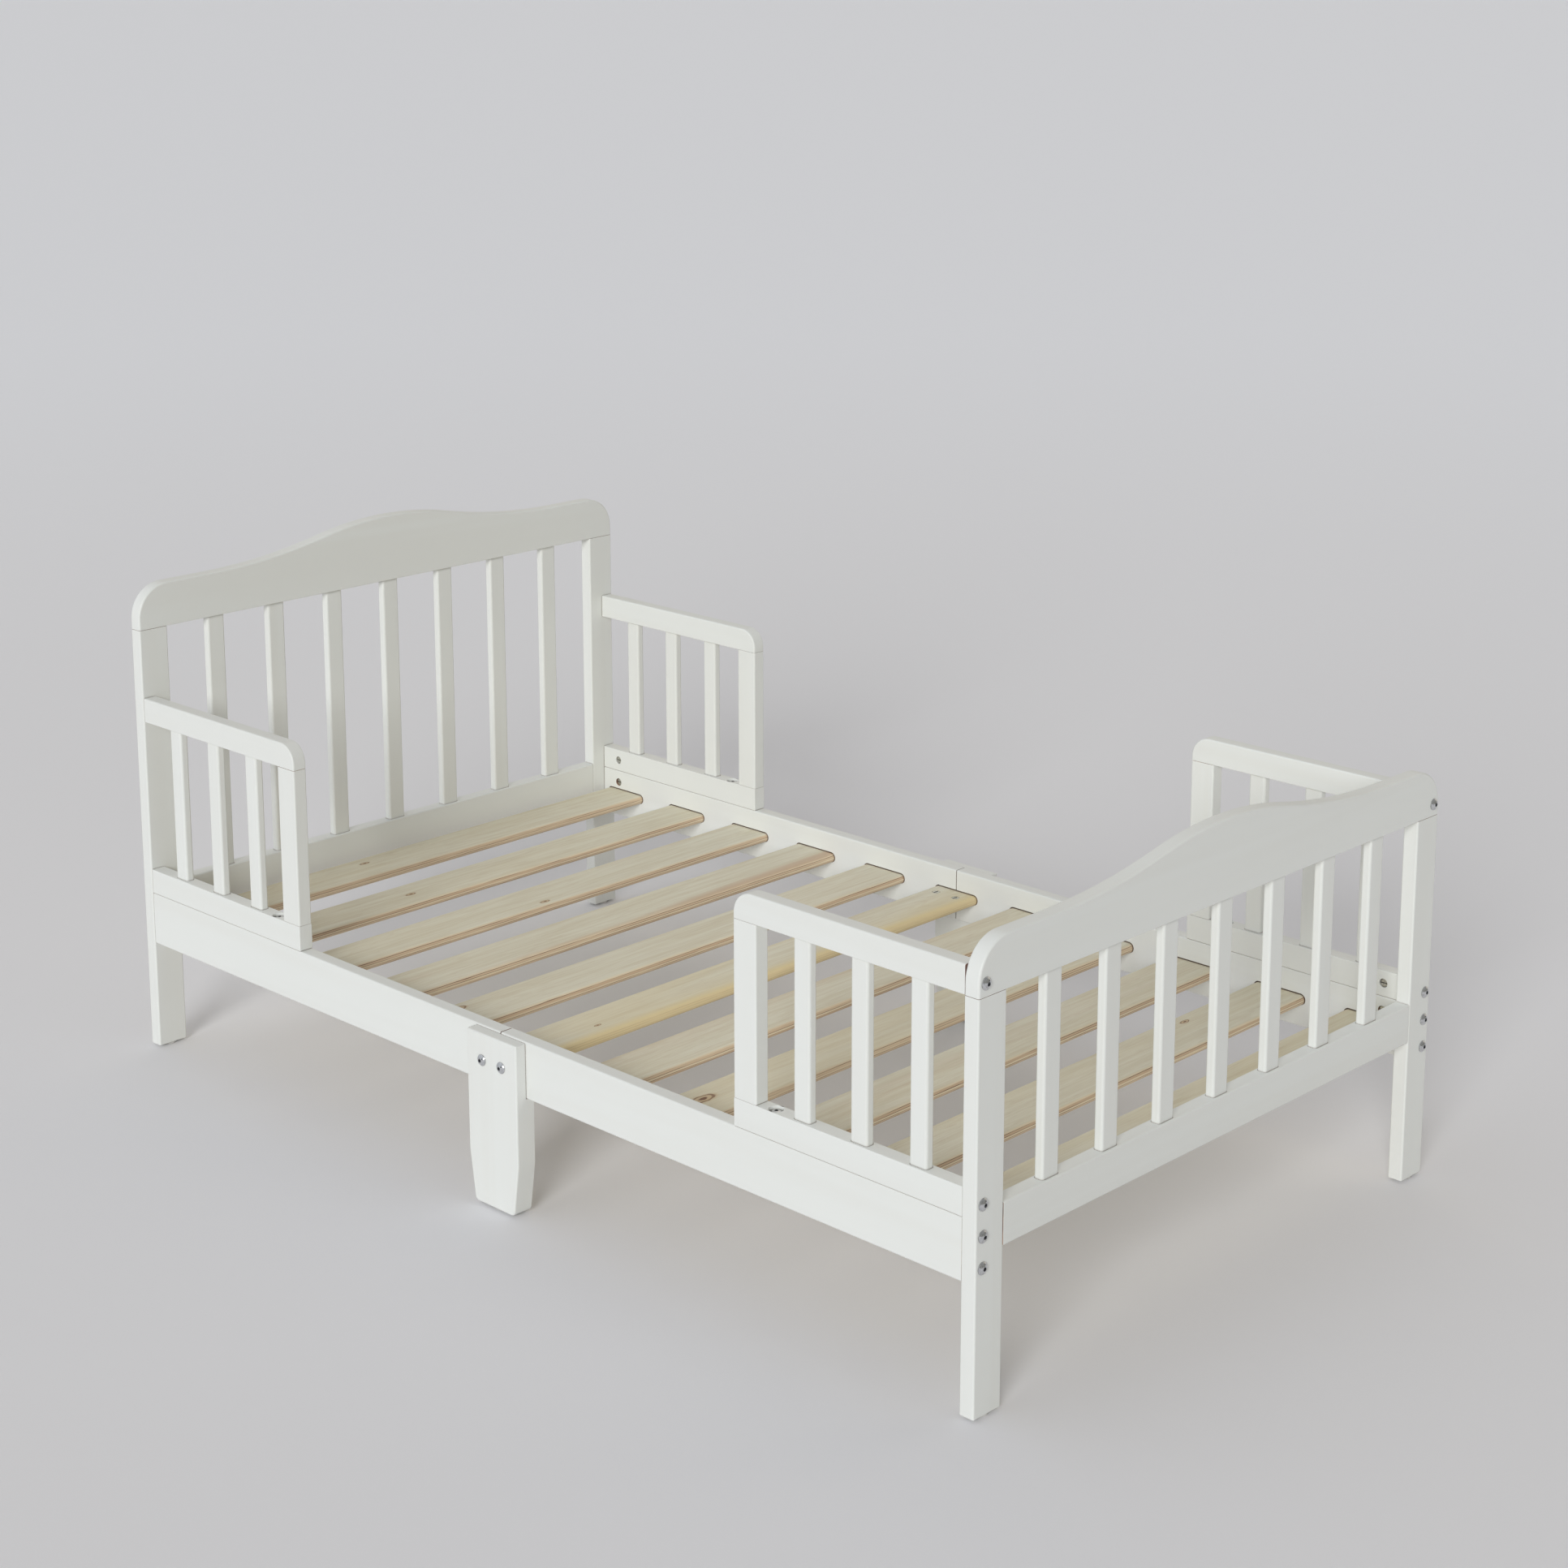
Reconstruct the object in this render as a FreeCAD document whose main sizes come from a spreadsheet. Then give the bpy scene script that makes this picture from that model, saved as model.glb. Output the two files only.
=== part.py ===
import FreeCAD, Part
import Sketcher
import math
import os
import re

# Toddler bed: two slatted end frames, split side rails with slots for the
# slats, four guards, two centre legs and the fittings that hold them.
# X runs along the bed with the headboard at -X, Y across it, Z up.
# The origin is on the floor under the middle of the bed. Millimetres.

Vector = FreeCAD.Vector
Rotation = FreeCAD.Rotation
Placement = FreeCAD.Placement

doc = FreeCAD.newDocument("ToddlerBed")
sheet = doc.addObject("Spreadsheet::Sheet", "Sizes")

DRIVING = [
    ("bed_length", 1360, "over the outer faces of both end frames"),
    ("bed_width", 778, "over the outer sides of the posts"),
    ("head_joint", 540, "height where the headboard top rail sits on its posts"),
    ("glide_height", 3, "floor glide under each post and leg"),
    ("glide_diameter", 16, "floor glide"),
    ("glide_bevel", 0.8, "floor glide's rims"),
    ("frame_thickness", 18, "boards of both end frames"),
    ("post_width", 40, "across the bed"),
    ("edge_round", 2, "softened long edges of boards"),
    ("end_rail_bottom", 168, "underside of the lower rails of the end frames"),
    ("end_rail_height", 45, "lower rails of the end frames"),
    ("shoulder_height", 55, "top rail at its flat shoulders"),
    ("shoulder_length", 104, "from the post's outer side to the foot of the hump"),
    ("crest_rise", 31, "hump above the shoulders"),
    ("crest_share", 0.37, "share of the two hump radii taken by the crest"),
    ("shoulder_radius", 42, "rounded outer corners of the top rails"),
    ("top_edge_round", 2.5, "softened outline of the top rails"),
    ("spindle_count", 7, "upright bars in each end frame"),
    ("spindle_width", 25, "end-frame bars"),
    ("spindle_thickness", 11, "all bars"),
    ("spindle_round", 3, "all bars"),
    ("spindle_end_gap", 61.5, "post to the nearest bar"),
    ("tenon_depth", 9, "bar ends let into the rails"),
    ("tenon_gap", 1, "room left above a bar"),
    ("mortise_gap", 0.15, "room round a bar end"),
    ("side_setback", 1, "side rails inside the posts' outer sides"),
    ("side_thickness", 18, "side rails and guards"),
    ("side_bottom", 139, "underside of the side rails"),
    ("side_height", 66, "side rails"),
    ("guard_length", 302, "from the post's face to the guard's free end"),
    ("guard_height", 250, "guard above the side rail"),
    ("guard_foot_height", 30.5, "bottom rail of a guard"),
    ("guard_top_height", 30, "top rail of a guard"),
    ("guard_corner", 24, "rounded free corner of a guard"),
    ("guard_end_width", 31.5, "end post of a guard"),
    ("guard_bar_count", 3, "bars in a guard"),
    ("guard_bar_width", 22, "bars in a guard"),
    ("guard_bar_gap", 48, "end post or bed post to the nearest bar"),
    ("slat_count", 11, "odd, so that one slat ties the middle"),
    ("slat_width", 69, "slats"),
    ("slat_thickness", 12, "slats"),
    ("slat_round", 5.5, "long edges of the slats"),
    ("slat_edge_flat", 1, "least flat left between a slat's rounded edges"),
    ("first_slat", 44.5, "post's face to the middle of the first slat"),
    ("slot_depth", 10, "slat slots in the side rails"),
    ("slot_gap", 1, "slot higher than the slat"),
    ("slat_end_gap", 0.5, "slat end to the bottom of its slot"),
    ("leg_width", 82, "centre legs"),
    ("leg_front", 14, "leg thickness outside the side rail"),
    ("leg_step", 11, "how far the leg steps in under the side rail"),
    ("leg_drop", 2, "leg top below the side rail top"),
    ("leg_taper", 8.5, "each side, at the floor"),
    ("leg_taper_height", 60, "above the glide"),
    ("leg_bend_radius", 70, "where the taper starts"),
    ("leg_toe_radius", 6, "bottom corners"),
    ("bolt_diameter", 6, "connector bolts"),
    ("bolt_length", 60, "under the head"),
    ("bolt_point", 0.8, "bolt's bevelled tip"),
    ("bolt_gap", 0.5, "bolt holes larger than the bolt"),
    ("head_diameter", 13, "domed bolt and screw heads"),
    ("head_height", 3.6, "domed heads"),
    ("head_rim", 0.9, "straight rim of a domed head"),
    ("socket_width", 4, "hexagon key size"),
    ("socket_depth", 2.3, "hexagon socket"),
    ("bolt_spread", 16, "side-rail bolts above and below the slats' middle"),
    ("top_bolt_rise", 13.5, "top bolts above the guard top rail's underside"),
    ("nut_diameter", 10, "barrel nuts"),
    ("nut_length", 14, "barrel nuts in rails"),
    ("slat_nut_length", 11, "barrel nuts in the middle slat"),
    ("nut_setback", 30, "post's face to the barrel nut's axis"),
    ("nut_gap", 0.2, "barrel nut holes larger than the nut"),
    ("nut_bevel", 0.5, "barrel nut's ends"),
    ("nut_slot_width", 1.4, "driver slot in a barrel nut's end"),
    ("nut_slot_depth", 1.2, "driver slot in a barrel nut's end"),
    ("thread_gap", 0.05, "barrel nut's cross hole larger than the bolt"),
    ("slat_nut_reach", 20, "side rail's inner face to the slat's barrel nuts"),
    ("leg_bolt_offset", 16, "leg bolts from the seam"),
    ("screw_diameter", 5, "guard screws"),
    ("screw_point", 2.5, "guard screw's bevelled tip"),
    ("screw_tip_gap", 2, "guard screw's tip above the slats' slots"),
    ("screw_inset", 51, "guard's free end to a guard screw"),
    ("counterbore_diameter", 16, "recess for a guard screw's head"),
    ("counterbore_depth", 5, "recess for a guard screw's head"),
    ("dowel_diameter", 8, "wooden dowels"),
    ("dowel_length", 30, "wooden dowels"),
    ("dowel_bevel", 1, "wooden dowels' ends"),
    ("dowel_gap", 0.1, "dowel holes larger than the dowel"),
    ("dowel_end_gap", 0.5, "dowel end to the bottom of its hole"),
    ("dowel_spread", 11, "paired dowels from their middle"),
    ("seam_dowel_spread", 20, "seam dowels from the slats' middle"),
    ("post_dowel_inset", 28, "post's outer side to its top dowel"),
]
for row, (alias, number, note) in enumerate(DRIVING, start=1):
    sheet.set(f"A{row}", note)
    sheet.set(f"B{row}", str(number))
    sheet.setAlias(f"B{row}", alias)
doc.recompute()
ALIASES = {alias for alias, number, note in DRIVING}

# Places worked out from the driving sizes.
POST_FACE = "(bed_length/2 - frame_thickness)"
FRAME_MIDDLE = "(bed_length/2 - frame_thickness/2)"
SIDE_TOP = "(side_bottom + side_height)"
SIDE_OUTER = "(bed_width/2 - side_setback)"
SIDE_MIDDLE = "(bed_width/2 - side_setback - side_thickness/2)"
SIDE_INNER = "(bed_width/2 - side_setback - side_thickness)"
BOLT_INSET = "(side_setback + side_thickness/2)"
SLAT_MIDDLE = "(side_bottom + side_height/2)"
SLOT_HEIGHT = "(slat_thickness + slot_gap)"
SLAT_FLOOR = f"({SLAT_MIDDLE} - {SLOT_HEIGHT}/2)"
SLAT_ROUND = "min(slat_round; (slat_thickness - slat_edge_flat)/2)"
SLOT_WIDTH = f"(slat_width + {SLOT_HEIGHT} - 2*{SLAT_ROUND})"
SLAT_REACH = f"({SIDE_INNER} + slot_depth - slat_end_gap)"
SLAT_PITCH = f"(({POST_FACE} - first_slat)*2/(slat_count - 1))"
LOW_BOLT = f"({SLAT_MIDDLE} - bolt_spread)"
HIGH_BOLT = f"({SLAT_MIDDLE} + bolt_spread)"
GUARD_FLOOR = f"({SIDE_TOP} + guard_foot_height)"
GUARD_BOLT = f"({SIDE_TOP} + guard_foot_height/2)"
FOOT_JOINT = f"({SIDE_TOP} + guard_height - guard_top_height)"
GUARD_TOP = f"({SIDE_TOP} + guard_height)"
TOP_BOLT = f"({FOOT_JOINT} + top_bolt_rise)"
END_RAIL_TOP = "(end_rail_bottom + end_rail_height)"
END_RAIL_MIDDLE = "(end_rail_bottom + end_rail_height/2)"
END_RAIL_LENGTH = "(bed_width - 2*post_width)"
SPINDLE_PITCH = f"(({END_RAIL_LENGTH} - 2*spindle_end_gap - spindle_width)/(spindle_count - 1))"
GUARD_BAR_PITCH = ("((guard_length - guard_end_width - 2*guard_bar_gap - guard_bar_width)"
                   "/(guard_bar_count - 1))")
GUARD_FIRST_BAR = "(guard_bar_gap + guard_bar_width/2)"
GUARD_END_MIDDLE = "(guard_length - guard_end_width/2)"
BOLT_HOLE = "(bolt_diameter + bolt_gap)"
BOLT_BORE_DEPTH = "(bolt_length - frame_thickness + tenon_gap)"
NUT_HOLE = "(nut_diameter + nut_gap)"
DOWEL_HOLE = "(dowel_diameter + dowel_gap)"
DOWEL_DEPTH = "(dowel_length/2 + dowel_end_gap)"
LEG_OUTER = f"({SIDE_OUTER} + leg_front)"
SCREW_PLACE = "(guard_length - screw_inset)"
SCREW_SEAT = f"({GUARD_FLOOR} - counterbore_depth)"
SCREW_TIP = f"({SLAT_MIDDLE} + {SLOT_HEIGHT}/2 + screw_tip_gap)"


def full(expression):
    """The expression with each size's alias pointed at the sheet."""
    return re.sub(r"[a-z_]+", lambda m: "Sizes." + m.group() if m.group() in ALIASES else m.group(),
                  str(expression))


def value(expression):
    return float(sheet.evalExpression(full(expression)))


def add_body(label):
    body = doc.addObject("PartDesign::Body", label)
    body.Label = label
    return body


def place(item, x="0", y="0", z="0", turned=False):
    """Puts a finished piece in the bed, turned half round about Z where asked."""
    item.Placement = Placement(Vector(), Rotation(Vector(0, 0, 1), 180 if turned else 0))
    for axis, expression in zip("xyz", (x, y, z)):
        item.setExpression(f"Placement.Base.{axis}", full(expression))


def add_sketch(body, role, name, offset="0"):
    """A sketch on one of the body's own planes, moved along that plane's normal."""
    plane = next(item for item in body.Origin.OriginFeatures if item.Role == role)
    sketch = body.newObject("Sketcher::SketchObject", name)
    sketch.AttachmentSupport = [(plane, "")]
    sketch.MapMode = "FlatFace"
    sketch.setExpression("AttachmentOffset.Base.z", full(offset))
    return sketch


def bind(sketch, kind, *targets):
    """A dimension whose last target is the expression that drives it."""
    *where, expression = targets
    index = sketch.addConstraint(Sketcher.Constraint(kind, *where, value(expression)))
    sketch.setExpression(f"Constraints[{index}]", full(expression))


def pin(sketch, shape, point, x, y):
    """Fixes one point of a sketch shape at (x, y)."""
    for kind, expression in (("DistanceX", x), ("DistanceY", y)):
        bind(sketch, kind, -1, 1, shape, point, expression)


def draw_polygon(sketch, corners):
    points = [Vector(value(x), value(y), 0) for x, y in corners]
    first = sketch.GeometryCount
    for start, end in zip(points, points[1:] + points[:1]):
        sketch.addGeometry(Part.LineSegment(start, end), False)
    for number, (x, y) in enumerate(corners):
        following = first + (number + 1) % len(corners)
        sketch.addConstraint(Sketcher.Constraint("Coincident", first + number, 2, following, 1))
        pin(sketch, first + number, 1, x, y)
    return sketch


def draw_rectangle(sketch, left, bottom, right, top):
    return draw_polygon(sketch, [(left, bottom), (right, bottom), (right, top), (left, top)])


def draw_circle(sketch, x, y, diameter):
    shape = sketch.addGeometry(
        Part.Circle(Vector(value(x), value(y), 0), Vector(0, 0, 1), value(diameter)/2), False)
    bind(sketch, "Diameter", shape, diameter)
    pin(sketch, shape, 3, x, y)
    return sketch


def draw_arc(sketch, x, y, radius, start, end):
    """An arc by centre, radius and angles in degrees, counter-clockwise."""
    circle = Part.Circle(Vector(x, y, 0), Vector(0, 0, 1), radius)
    return sketch.addGeometry(Part.ArcOfCircle(circle, math.radians(start), math.radians(end)), False)


def draw_rounded(sketch, x, y, width, height, radius):
    """A rectangle about (x, y) with rounded corners, or full-round ends."""
    mid_x, mid_y, corner = value(x), value(y), value(radius)
    half_x, half_y = value(width)/2, value(height)/2
    far_x, far_y = half_x - corner, half_y - corner
    first = sketch.GeometryCount
    spots = [(far_x, -far_y, -90), (far_x, far_y, 0), (-far_x, far_y, 90), (-far_x, -far_y, 180)]
    sides = [((-far_x, -half_y), (far_x, -half_y)), ((half_x, -far_y), (half_x, far_y)),
             ((far_x, half_y), (-far_x, half_y)), ((-half_x, far_y), (-half_x, -far_y))]
    for (spot_x, spot_y, start), (begin, end) in zip(spots, sides):
        sketch.addGeometry(Part.LineSegment(Vector(mid_x + begin[0], mid_y + begin[1], 0),
                                            Vector(mid_x + end[0], mid_y + end[1], 0)), False)
        draw_arc(sketch, mid_x + spot_x, mid_y + spot_y, corner, start, start + 90)
    for number in range(4):
        line, arc, following = first + 2*number, first + 2*number + 1, first + (2*number + 2) % 8
        sketch.addConstraint(Sketcher.Constraint("Tangent", line, 2, arc, 1))
        sketch.addConstraint(Sketcher.Constraint("Tangent", arc, 2, following, 1))
        sketch.addConstraint(Sketcher.Constraint("Vertical" if number % 2 else "Horizontal", line))
        if number:
            sketch.addConstraint(Sketcher.Constraint("Equal", first + 1, arc))
    bind(sketch, "Radius", first + 1, radius)
    bind(sketch, "DistanceY", -1, 1, first, 1, f"({y}) - ({height})/2")
    bind(sketch, "DistanceX", -1, 1, first + 2, 1, f"({x}) + ({width})/2")
    bind(sketch, "DistanceY", -1, 1, first + 4, 1, f"({y}) + ({height})/2")
    bind(sketch, "DistanceX", -1, 1, first + 6, 1, f"({x}) - ({width})/2")
    return sketch


def pad(body, sketch, length, towards=None):
    """Extrudes a sketch to both sides, or towards a direction."""
    feature = body.newObject("PartDesign::Pad", sketch.Name + "Pad")
    feature.Profile = sketch
    feature.setExpression("Length", full(length))
    doc.recompute()
    if towards is None:
        feature.SideType = "Symmetric"
    else:
        normal = sketch.Placement.Rotation.multVec(Vector(0, 0, 1))
        feature.Reversed = normal.dot(towards) < 0
    sketch.Visibility = False
    doc.recompute()
    return feature


def cut(body, sketch, depth, towards):
    """Cuts a sketch into the body towards a direction, and checks that it cut."""
    before = body.Shape.Volume
    feature = body.newObject("PartDesign::Pocket", sketch.Name + "Cut")
    feature.Profile = sketch
    feature.setExpression("Length", full(depth))
    doc.recompute()
    normal = sketch.Placement.Rotation.multVec(Vector(0, 0, 1))
    feature.Reversed = normal.dot(towards) > 0
    doc.recompute()
    if not feature.Shape.Volume < before - 1:
        raise ValueError(f"{body.Label}: {feature.Name} cuts nothing")
    return feature


def repeat(body, feature, sketch, axis, pitch, count):
    """Repeats a cut in a row along one of its sketch's axes."""
    pattern = body.newObject("PartDesign::LinearPattern", feature.Name + "Row")
    pattern.Originals = [feature]
    pattern.Direction = (sketch, [axis])
    pattern.Mode = "Spacing"
    pattern.setExpression("Offset", full(pitch))
    pattern.setExpression("Occurrences", full(count))
    body.Tip = pattern
    doc.recompute()
    if not pattern.Shape.Volume < feature.Shape.Volume - 1:
        raise ValueError(f"{body.Label}: {pattern.Name} repeats nothing")
    return pattern


def soften(body, feature, radius, wanted):
    """Rounds the edges of a feature that the wanted test picks."""
    names = [f"Edge{number}" for number, edge in enumerate(feature.Shape.Edges, start=1) if wanted(edge)]
    if not names:
        raise ValueError(f"{body.Label}: no edges to soften")
    fillet = body.newObject("PartDesign::Fillet", feature.Name + "Soft")
    fillet.Base = (feature, names)
    fillet.setExpression("Radius", full(radius))
    doc.recompute()
    return fillet


def runs_along(direction):
    """Picks straight edges along a direction."""
    def test(edge):
        if not isinstance(edge.Curve, Part.Line):
            return False
        return abs(edge.tangentAt(edge.FirstParameter).dot(direction)) > 0.999
    return test


ALONG_X, ALONG_Y, ALONG_Z = Vector(1, 0, 0), Vector(0, 1, 0), Vector(0, 0, 1)
NODES = []


def keep(item):
    NODES.append(item)
    return item


# ---------------------------------------------------------------- end frames

def make_post(label, height, bolts, x, far):
    """A post with y = 0 at its outer side and its width towards the bed."""
    body = add_body(label)
    section = add_sketch(body, "XY_Plane", label + "Section", "glide_height")
    draw_rectangle(section, "-frame_thickness/2", "0", "frame_thickness/2", "post_width")
    stick = pad(body, section, f"{height} - glide_height", ALONG_Z)
    soften(body, stick, "edge_round", runs_along(ALONG_Z))
    bores = add_sketch(body, "YZ_Plane", label + "Bores", "frame_thickness/2")
    for bolt in bolts:
        draw_circle(bores, BOLT_INSET, bolt, BOLT_HOLE)
    cut(body, bores, "frame_thickness", -ALONG_X)
    top = add_sketch(body, "XY_Plane", label + "TopDowel", height)
    draw_circle(top, "0", "post_dowel_inset", DOWEL_HOLE)
    cut(body, top, DOWEL_DEPTH, -ALONG_Z)
    side = add_sketch(body, "XZ_Plane", label + "RailDowels", "-post_width")
    for sign in "+-":
        draw_circle(side, "0", f"{END_RAIL_MIDDLE} {sign} dowel_spread", DOWEL_HOLE)
    cut(body, side, DOWEL_DEPTH, -ALONG_Y)
    place(body, x, "bed_width/2" if far else "-bed_width/2", turned=far)
    return keep(body)


def draw_top_outline(sketch):
    """Camel-back outline: flat shoulders, then a hump of two tangent arcs a side."""
    half, rise, shoulder = value("bed_width/2"), value("crest_rise"), value("shoulder_height")
    corner, foot = value("shoulder_radius"), value("bed_width/2 - shoulder_length")
    radii = (foot**2 + rise**2)/(2*rise)
    crest = value("crest_share")*radii
    hollow = radii - crest
    slope = math.degrees(2*math.atan(rise/foot))
    level = half - corner

    def line(*ends):
        return sketch.addGeometry(Part.LineSegment(*[Vector(*end, 0) for end in ends]), False)

    def join(kind, *where):
        sketch.addConstraint(Sketcher.Constraint(kind, *where))
    chain = [
        line((-half, 0), (half, 0)),
        line((half, 0), (half, shoulder - corner)),
        draw_arc(sketch, level, shoulder - corner, corner, 0, 90),
        line((level, shoulder), (foot, shoulder)),
        draw_arc(sketch, foot, shoulder + hollow, hollow, 270 - slope, 270),
        draw_arc(sketch, 0, shoulder + rise - crest, crest, 90 - slope, 90 + slope),
        draw_arc(sketch, -foot, shoulder + hollow, hollow, 270, 270 + slope),
        line((-foot, shoulder), (-level, shoulder)),
        draw_arc(sketch, -level, shoulder - corner, corner, 90, 180),
        line((-half, shoulder - corner), (-half, 0)),
    ]
    base, right, corner_right, flat_right, hollow_right = chain[:5]
    hump, hollow_left, flat_left, corner_left, left = chain[5:]
    join("Coincident", base, 2, right, 1)
    join("Tangent", right, 2, corner_right, 1)
    join("Tangent", corner_right, 2, flat_right, 1)
    join("Tangent", flat_right, 2, hollow_right, 2)
    join("Tangent", hollow_right, 1, hump, 1)
    join("Tangent", hump, 2, hollow_left, 2)
    join("Tangent", hollow_left, 1, flat_left, 1)
    join("Tangent", flat_left, 2, corner_left, 1)
    join("Tangent", corner_left, 2, left, 1)
    join("Coincident", left, 2, base, 1)
    join("Horizontal", flat_right)
    join("Horizontal", flat_left)
    join("Vertical", right)
    join("Vertical", left)
    join("Equal", corner_right, corner_left)
    join("Equal", hollow_right, hollow_left)
    pin(sketch, base, 1, "-bed_width/2", "0")
    pin(sketch, base, 2, "bed_width/2", "0")
    pin(sketch, flat_right, 2, "bed_width/2 - shoulder_length", "shoulder_height")
    pin(sketch, flat_left, 1, "shoulder_length - bed_width/2", "shoulder_height")
    bind(sketch, "Radius", corner_right, "shoulder_radius")
    both = "((bed_width/2 - shoulder_length)^2 + crest_rise^2)/(2*crest_rise)"
    bind(sketch, "Radius", hump, f"crest_share*{both}")
    return sketch


def make_top_rail(label, joint, x, bolted):
    """A top rail with z = 0 on the joint with its posts."""
    body = add_body(label)
    outline = draw_top_outline(add_sketch(body, "YZ_Plane", label + "Outline"))
    board = pad(body, outline, "frame_thickness")
    face = value("frame_thickness/2")

    def on_outline(edge):
        box = edge.BoundBox
        return box.XLength < 0.01 and abs(abs(box.XMin) - face) < 0.01 and box.ZMax > 0.01
    soften(body, board, "top_edge_round", on_outline)
    cut_spindle_row(body, label, "0", "tenon_depth + tenon_gap", ALONG_Z)
    dowels = add_sketch(body, "XY_Plane", label + "Dowels")
    for sign in ("", "-"):
        draw_circle(dowels, "0", f"{sign}(bed_width/2 - post_dowel_inset)", DOWEL_HOLE)
    cut(body, dowels, DOWEL_DEPTH, ALONG_Z)
    if bolted:
        bores = add_sketch(body, "YZ_Plane", label + "Bores", "frame_thickness/2")
        for sign in ("", "-"):
            draw_circle(bores, f"{sign}(bed_width/2 - {BOLT_INSET})", "top_bolt_rise", BOLT_HOLE)
        cut(body, bores, "frame_thickness", -ALONG_X)
    place(body, x, "0", joint)
    return keep(body)


def cut_spindle_row(body, label, level, depth, towards):
    """The row of mortises for an end frame's bars."""
    mortise = add_sketch(body, "XY_Plane", label + "Mortise", level)
    draw_rounded(mortise, "0", f"-{SPINDLE_PITCH}*(spindle_count - 1)/2", "spindle_thickness + 2*mortise_gap",
                 "spindle_width + 2*mortise_gap", "spindle_round + mortise_gap")
    first = cut(body, mortise, depth, towards)
    repeat(body, first, mortise, "V_Axis", SPINDLE_PITCH, "spindle_count")


def make_end_rail(label, x):
    body = add_body(label)
    section = add_sketch(body, "XZ_Plane", label + "Section")
    draw_rectangle(section, "-frame_thickness/2", "end_rail_bottom", "frame_thickness/2", END_RAIL_TOP)
    board = pad(body, section, END_RAIL_LENGTH)
    soften(body, board, "edge_round", runs_along(ALONG_Y))
    cut_spindle_row(body, label, END_RAIL_TOP, "tenon_depth", -ALONG_Z)
    for side, name, towards in (("", "Far", -ALONG_Y), ("-", "Near", ALONG_Y)):
        dowels = add_sketch(body, "XZ_Plane", f"{label}{name}Dowels", f"-({side}{END_RAIL_LENGTH}/2)")
        for sign in "+-":
            draw_circle(dowels, "0", f"{END_RAIL_MIDDLE} {sign} dowel_spread", DOWEL_HOLE)
        cut(body, dowels, DOWEL_DEPTH, towards)
    place(body, x)
    return keep(body)


def make_spindle(label, joint, x, number):
    body = add_body(label)
    section = add_sketch(body, "XY_Plane", label + "Section", f"{END_RAIL_TOP} - tenon_depth")
    draw_rounded(section, "0", "0", "spindle_thickness", "spindle_width", "spindle_round")
    pad(body, section, f"{joint} - {END_RAIL_TOP} + 2*tenon_depth", ALONG_Z)
    place(body, x, f"{SPINDLE_PITCH}*({number} - (spindle_count + 1)/2)")
    return keep(body)


def make_end_frame(name, sign, joint, post_bolts, bolted):
    x = f"{sign}{FRAME_MIDDLE}"
    make_post(f"{name}_post_near", joint, post_bolts, x, far=False)
    make_post(f"{name}_post_far", joint, post_bolts, x, far=True)
    make_top_rail(f"{name}board_top_rail", joint, x, bolted)
    make_end_rail(f"{name}board_lower_rail", x)
    for number in range(1, round(value("spindle_count")) + 1):
        make_spindle(f"{name}board_spindle_{number}", joint, x, number)


# ------------------------------------------------------------ rails and guards
# These start at the post's face, x = 0, and run towards the bed's middle.
# y = 0 is the middle of their thickness. Inner is +Y or -Y.

CORNERS = [("head", "near", 1), ("head", "far", -1), ("foot", "near", -1), ("foot", "far", 1)]


def place_side(item, end, side):
    place(item, f"{'-' if end == 'head' else ''}{POST_FACE}",
          f"{'-' if side == 'near' else ''}{SIDE_MIDDLE}", turned=end == "foot")


def cut_from_inner(body, name, inner, circles, depth):
    """Round holes from the inner face, each given as (x, z, diameter)."""
    holes = add_sketch(body, "XZ_Plane", name, f"{-inner}*side_thickness/2")
    for x, z, diameter in circles:
        draw_circle(holes, x, z, diameter)
    return cut(body, holes, depth, Vector(0, -inner, 0))


def cut_end_bolts(body, name, heights):
    bores = add_sketch(body, "YZ_Plane", name)
    for height in heights:
        draw_circle(bores, "0", height, BOLT_HOLE)
    return cut(body, bores, BOLT_BORE_DEPTH, ALONG_X)


def make_side_rail(end, side, inner):
    label = f"side_rail_{end}_{side}"
    body = add_body(label)
    section = add_sketch(body, "YZ_Plane", label + "Section")
    draw_rectangle(section, "-side_thickness/2", "side_bottom", "side_thickness/2", SIDE_TOP)
    board = pad(body, section, POST_FACE, ALONG_X)
    soften(body, board, "edge_round", runs_along(ALONG_X))
    slot = add_sketch(body, "XZ_Plane", label + "Slot", f"{-inner}*side_thickness/2")
    draw_stadium(slot, "first_slat", SLAT_MIDDLE, SLOT_WIDTH, SLOT_HEIGHT)
    first = cut(body, slot, "slot_depth", Vector(0, -inner, 0))
    repeat(body, first, slot, "H_Axis", SLAT_PITCH, "(slat_count + 1)/2")
    cut_end_bolts(body, label + "Bolts", [LOW_BOLT, HIGH_BOLT])
    nuts = [("nut_setback", height, NUT_HOLE) for height in (LOW_BOLT, HIGH_BOLT)]
    cut_from_inner(body, label + "Nuts", inner, nuts, "side_thickness/2 + nut_length/2")
    leg_bolt = [(f"{POST_FACE} - leg_bolt_offset", SLAT_MIDDLE, BOLT_HOLE)]
    cut_from_inner(body, label + "LegBolt", inner, leg_bolt, "side_thickness")
    screw = add_sketch(body, "XY_Plane", label + "Screw", SIDE_TOP)
    draw_circle(screw, SCREW_PLACE, "0", "screw_diameter")
    cut(body, screw, f"{SIDE_TOP} - {SCREW_TIP} + screw_tip_gap/2", -ALONG_Z)
    seam = add_sketch(body, "YZ_Plane", label + "Seam", POST_FACE)
    for sign in "+-":
        draw_circle(seam, "0", f"{SLAT_MIDDLE} {sign} seam_dowel_spread", DOWEL_HOLE)
    cut(body, seam, DOWEL_DEPTH, -ALONG_X)
    place_side(body, end, side)
    return keep(body)


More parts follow.
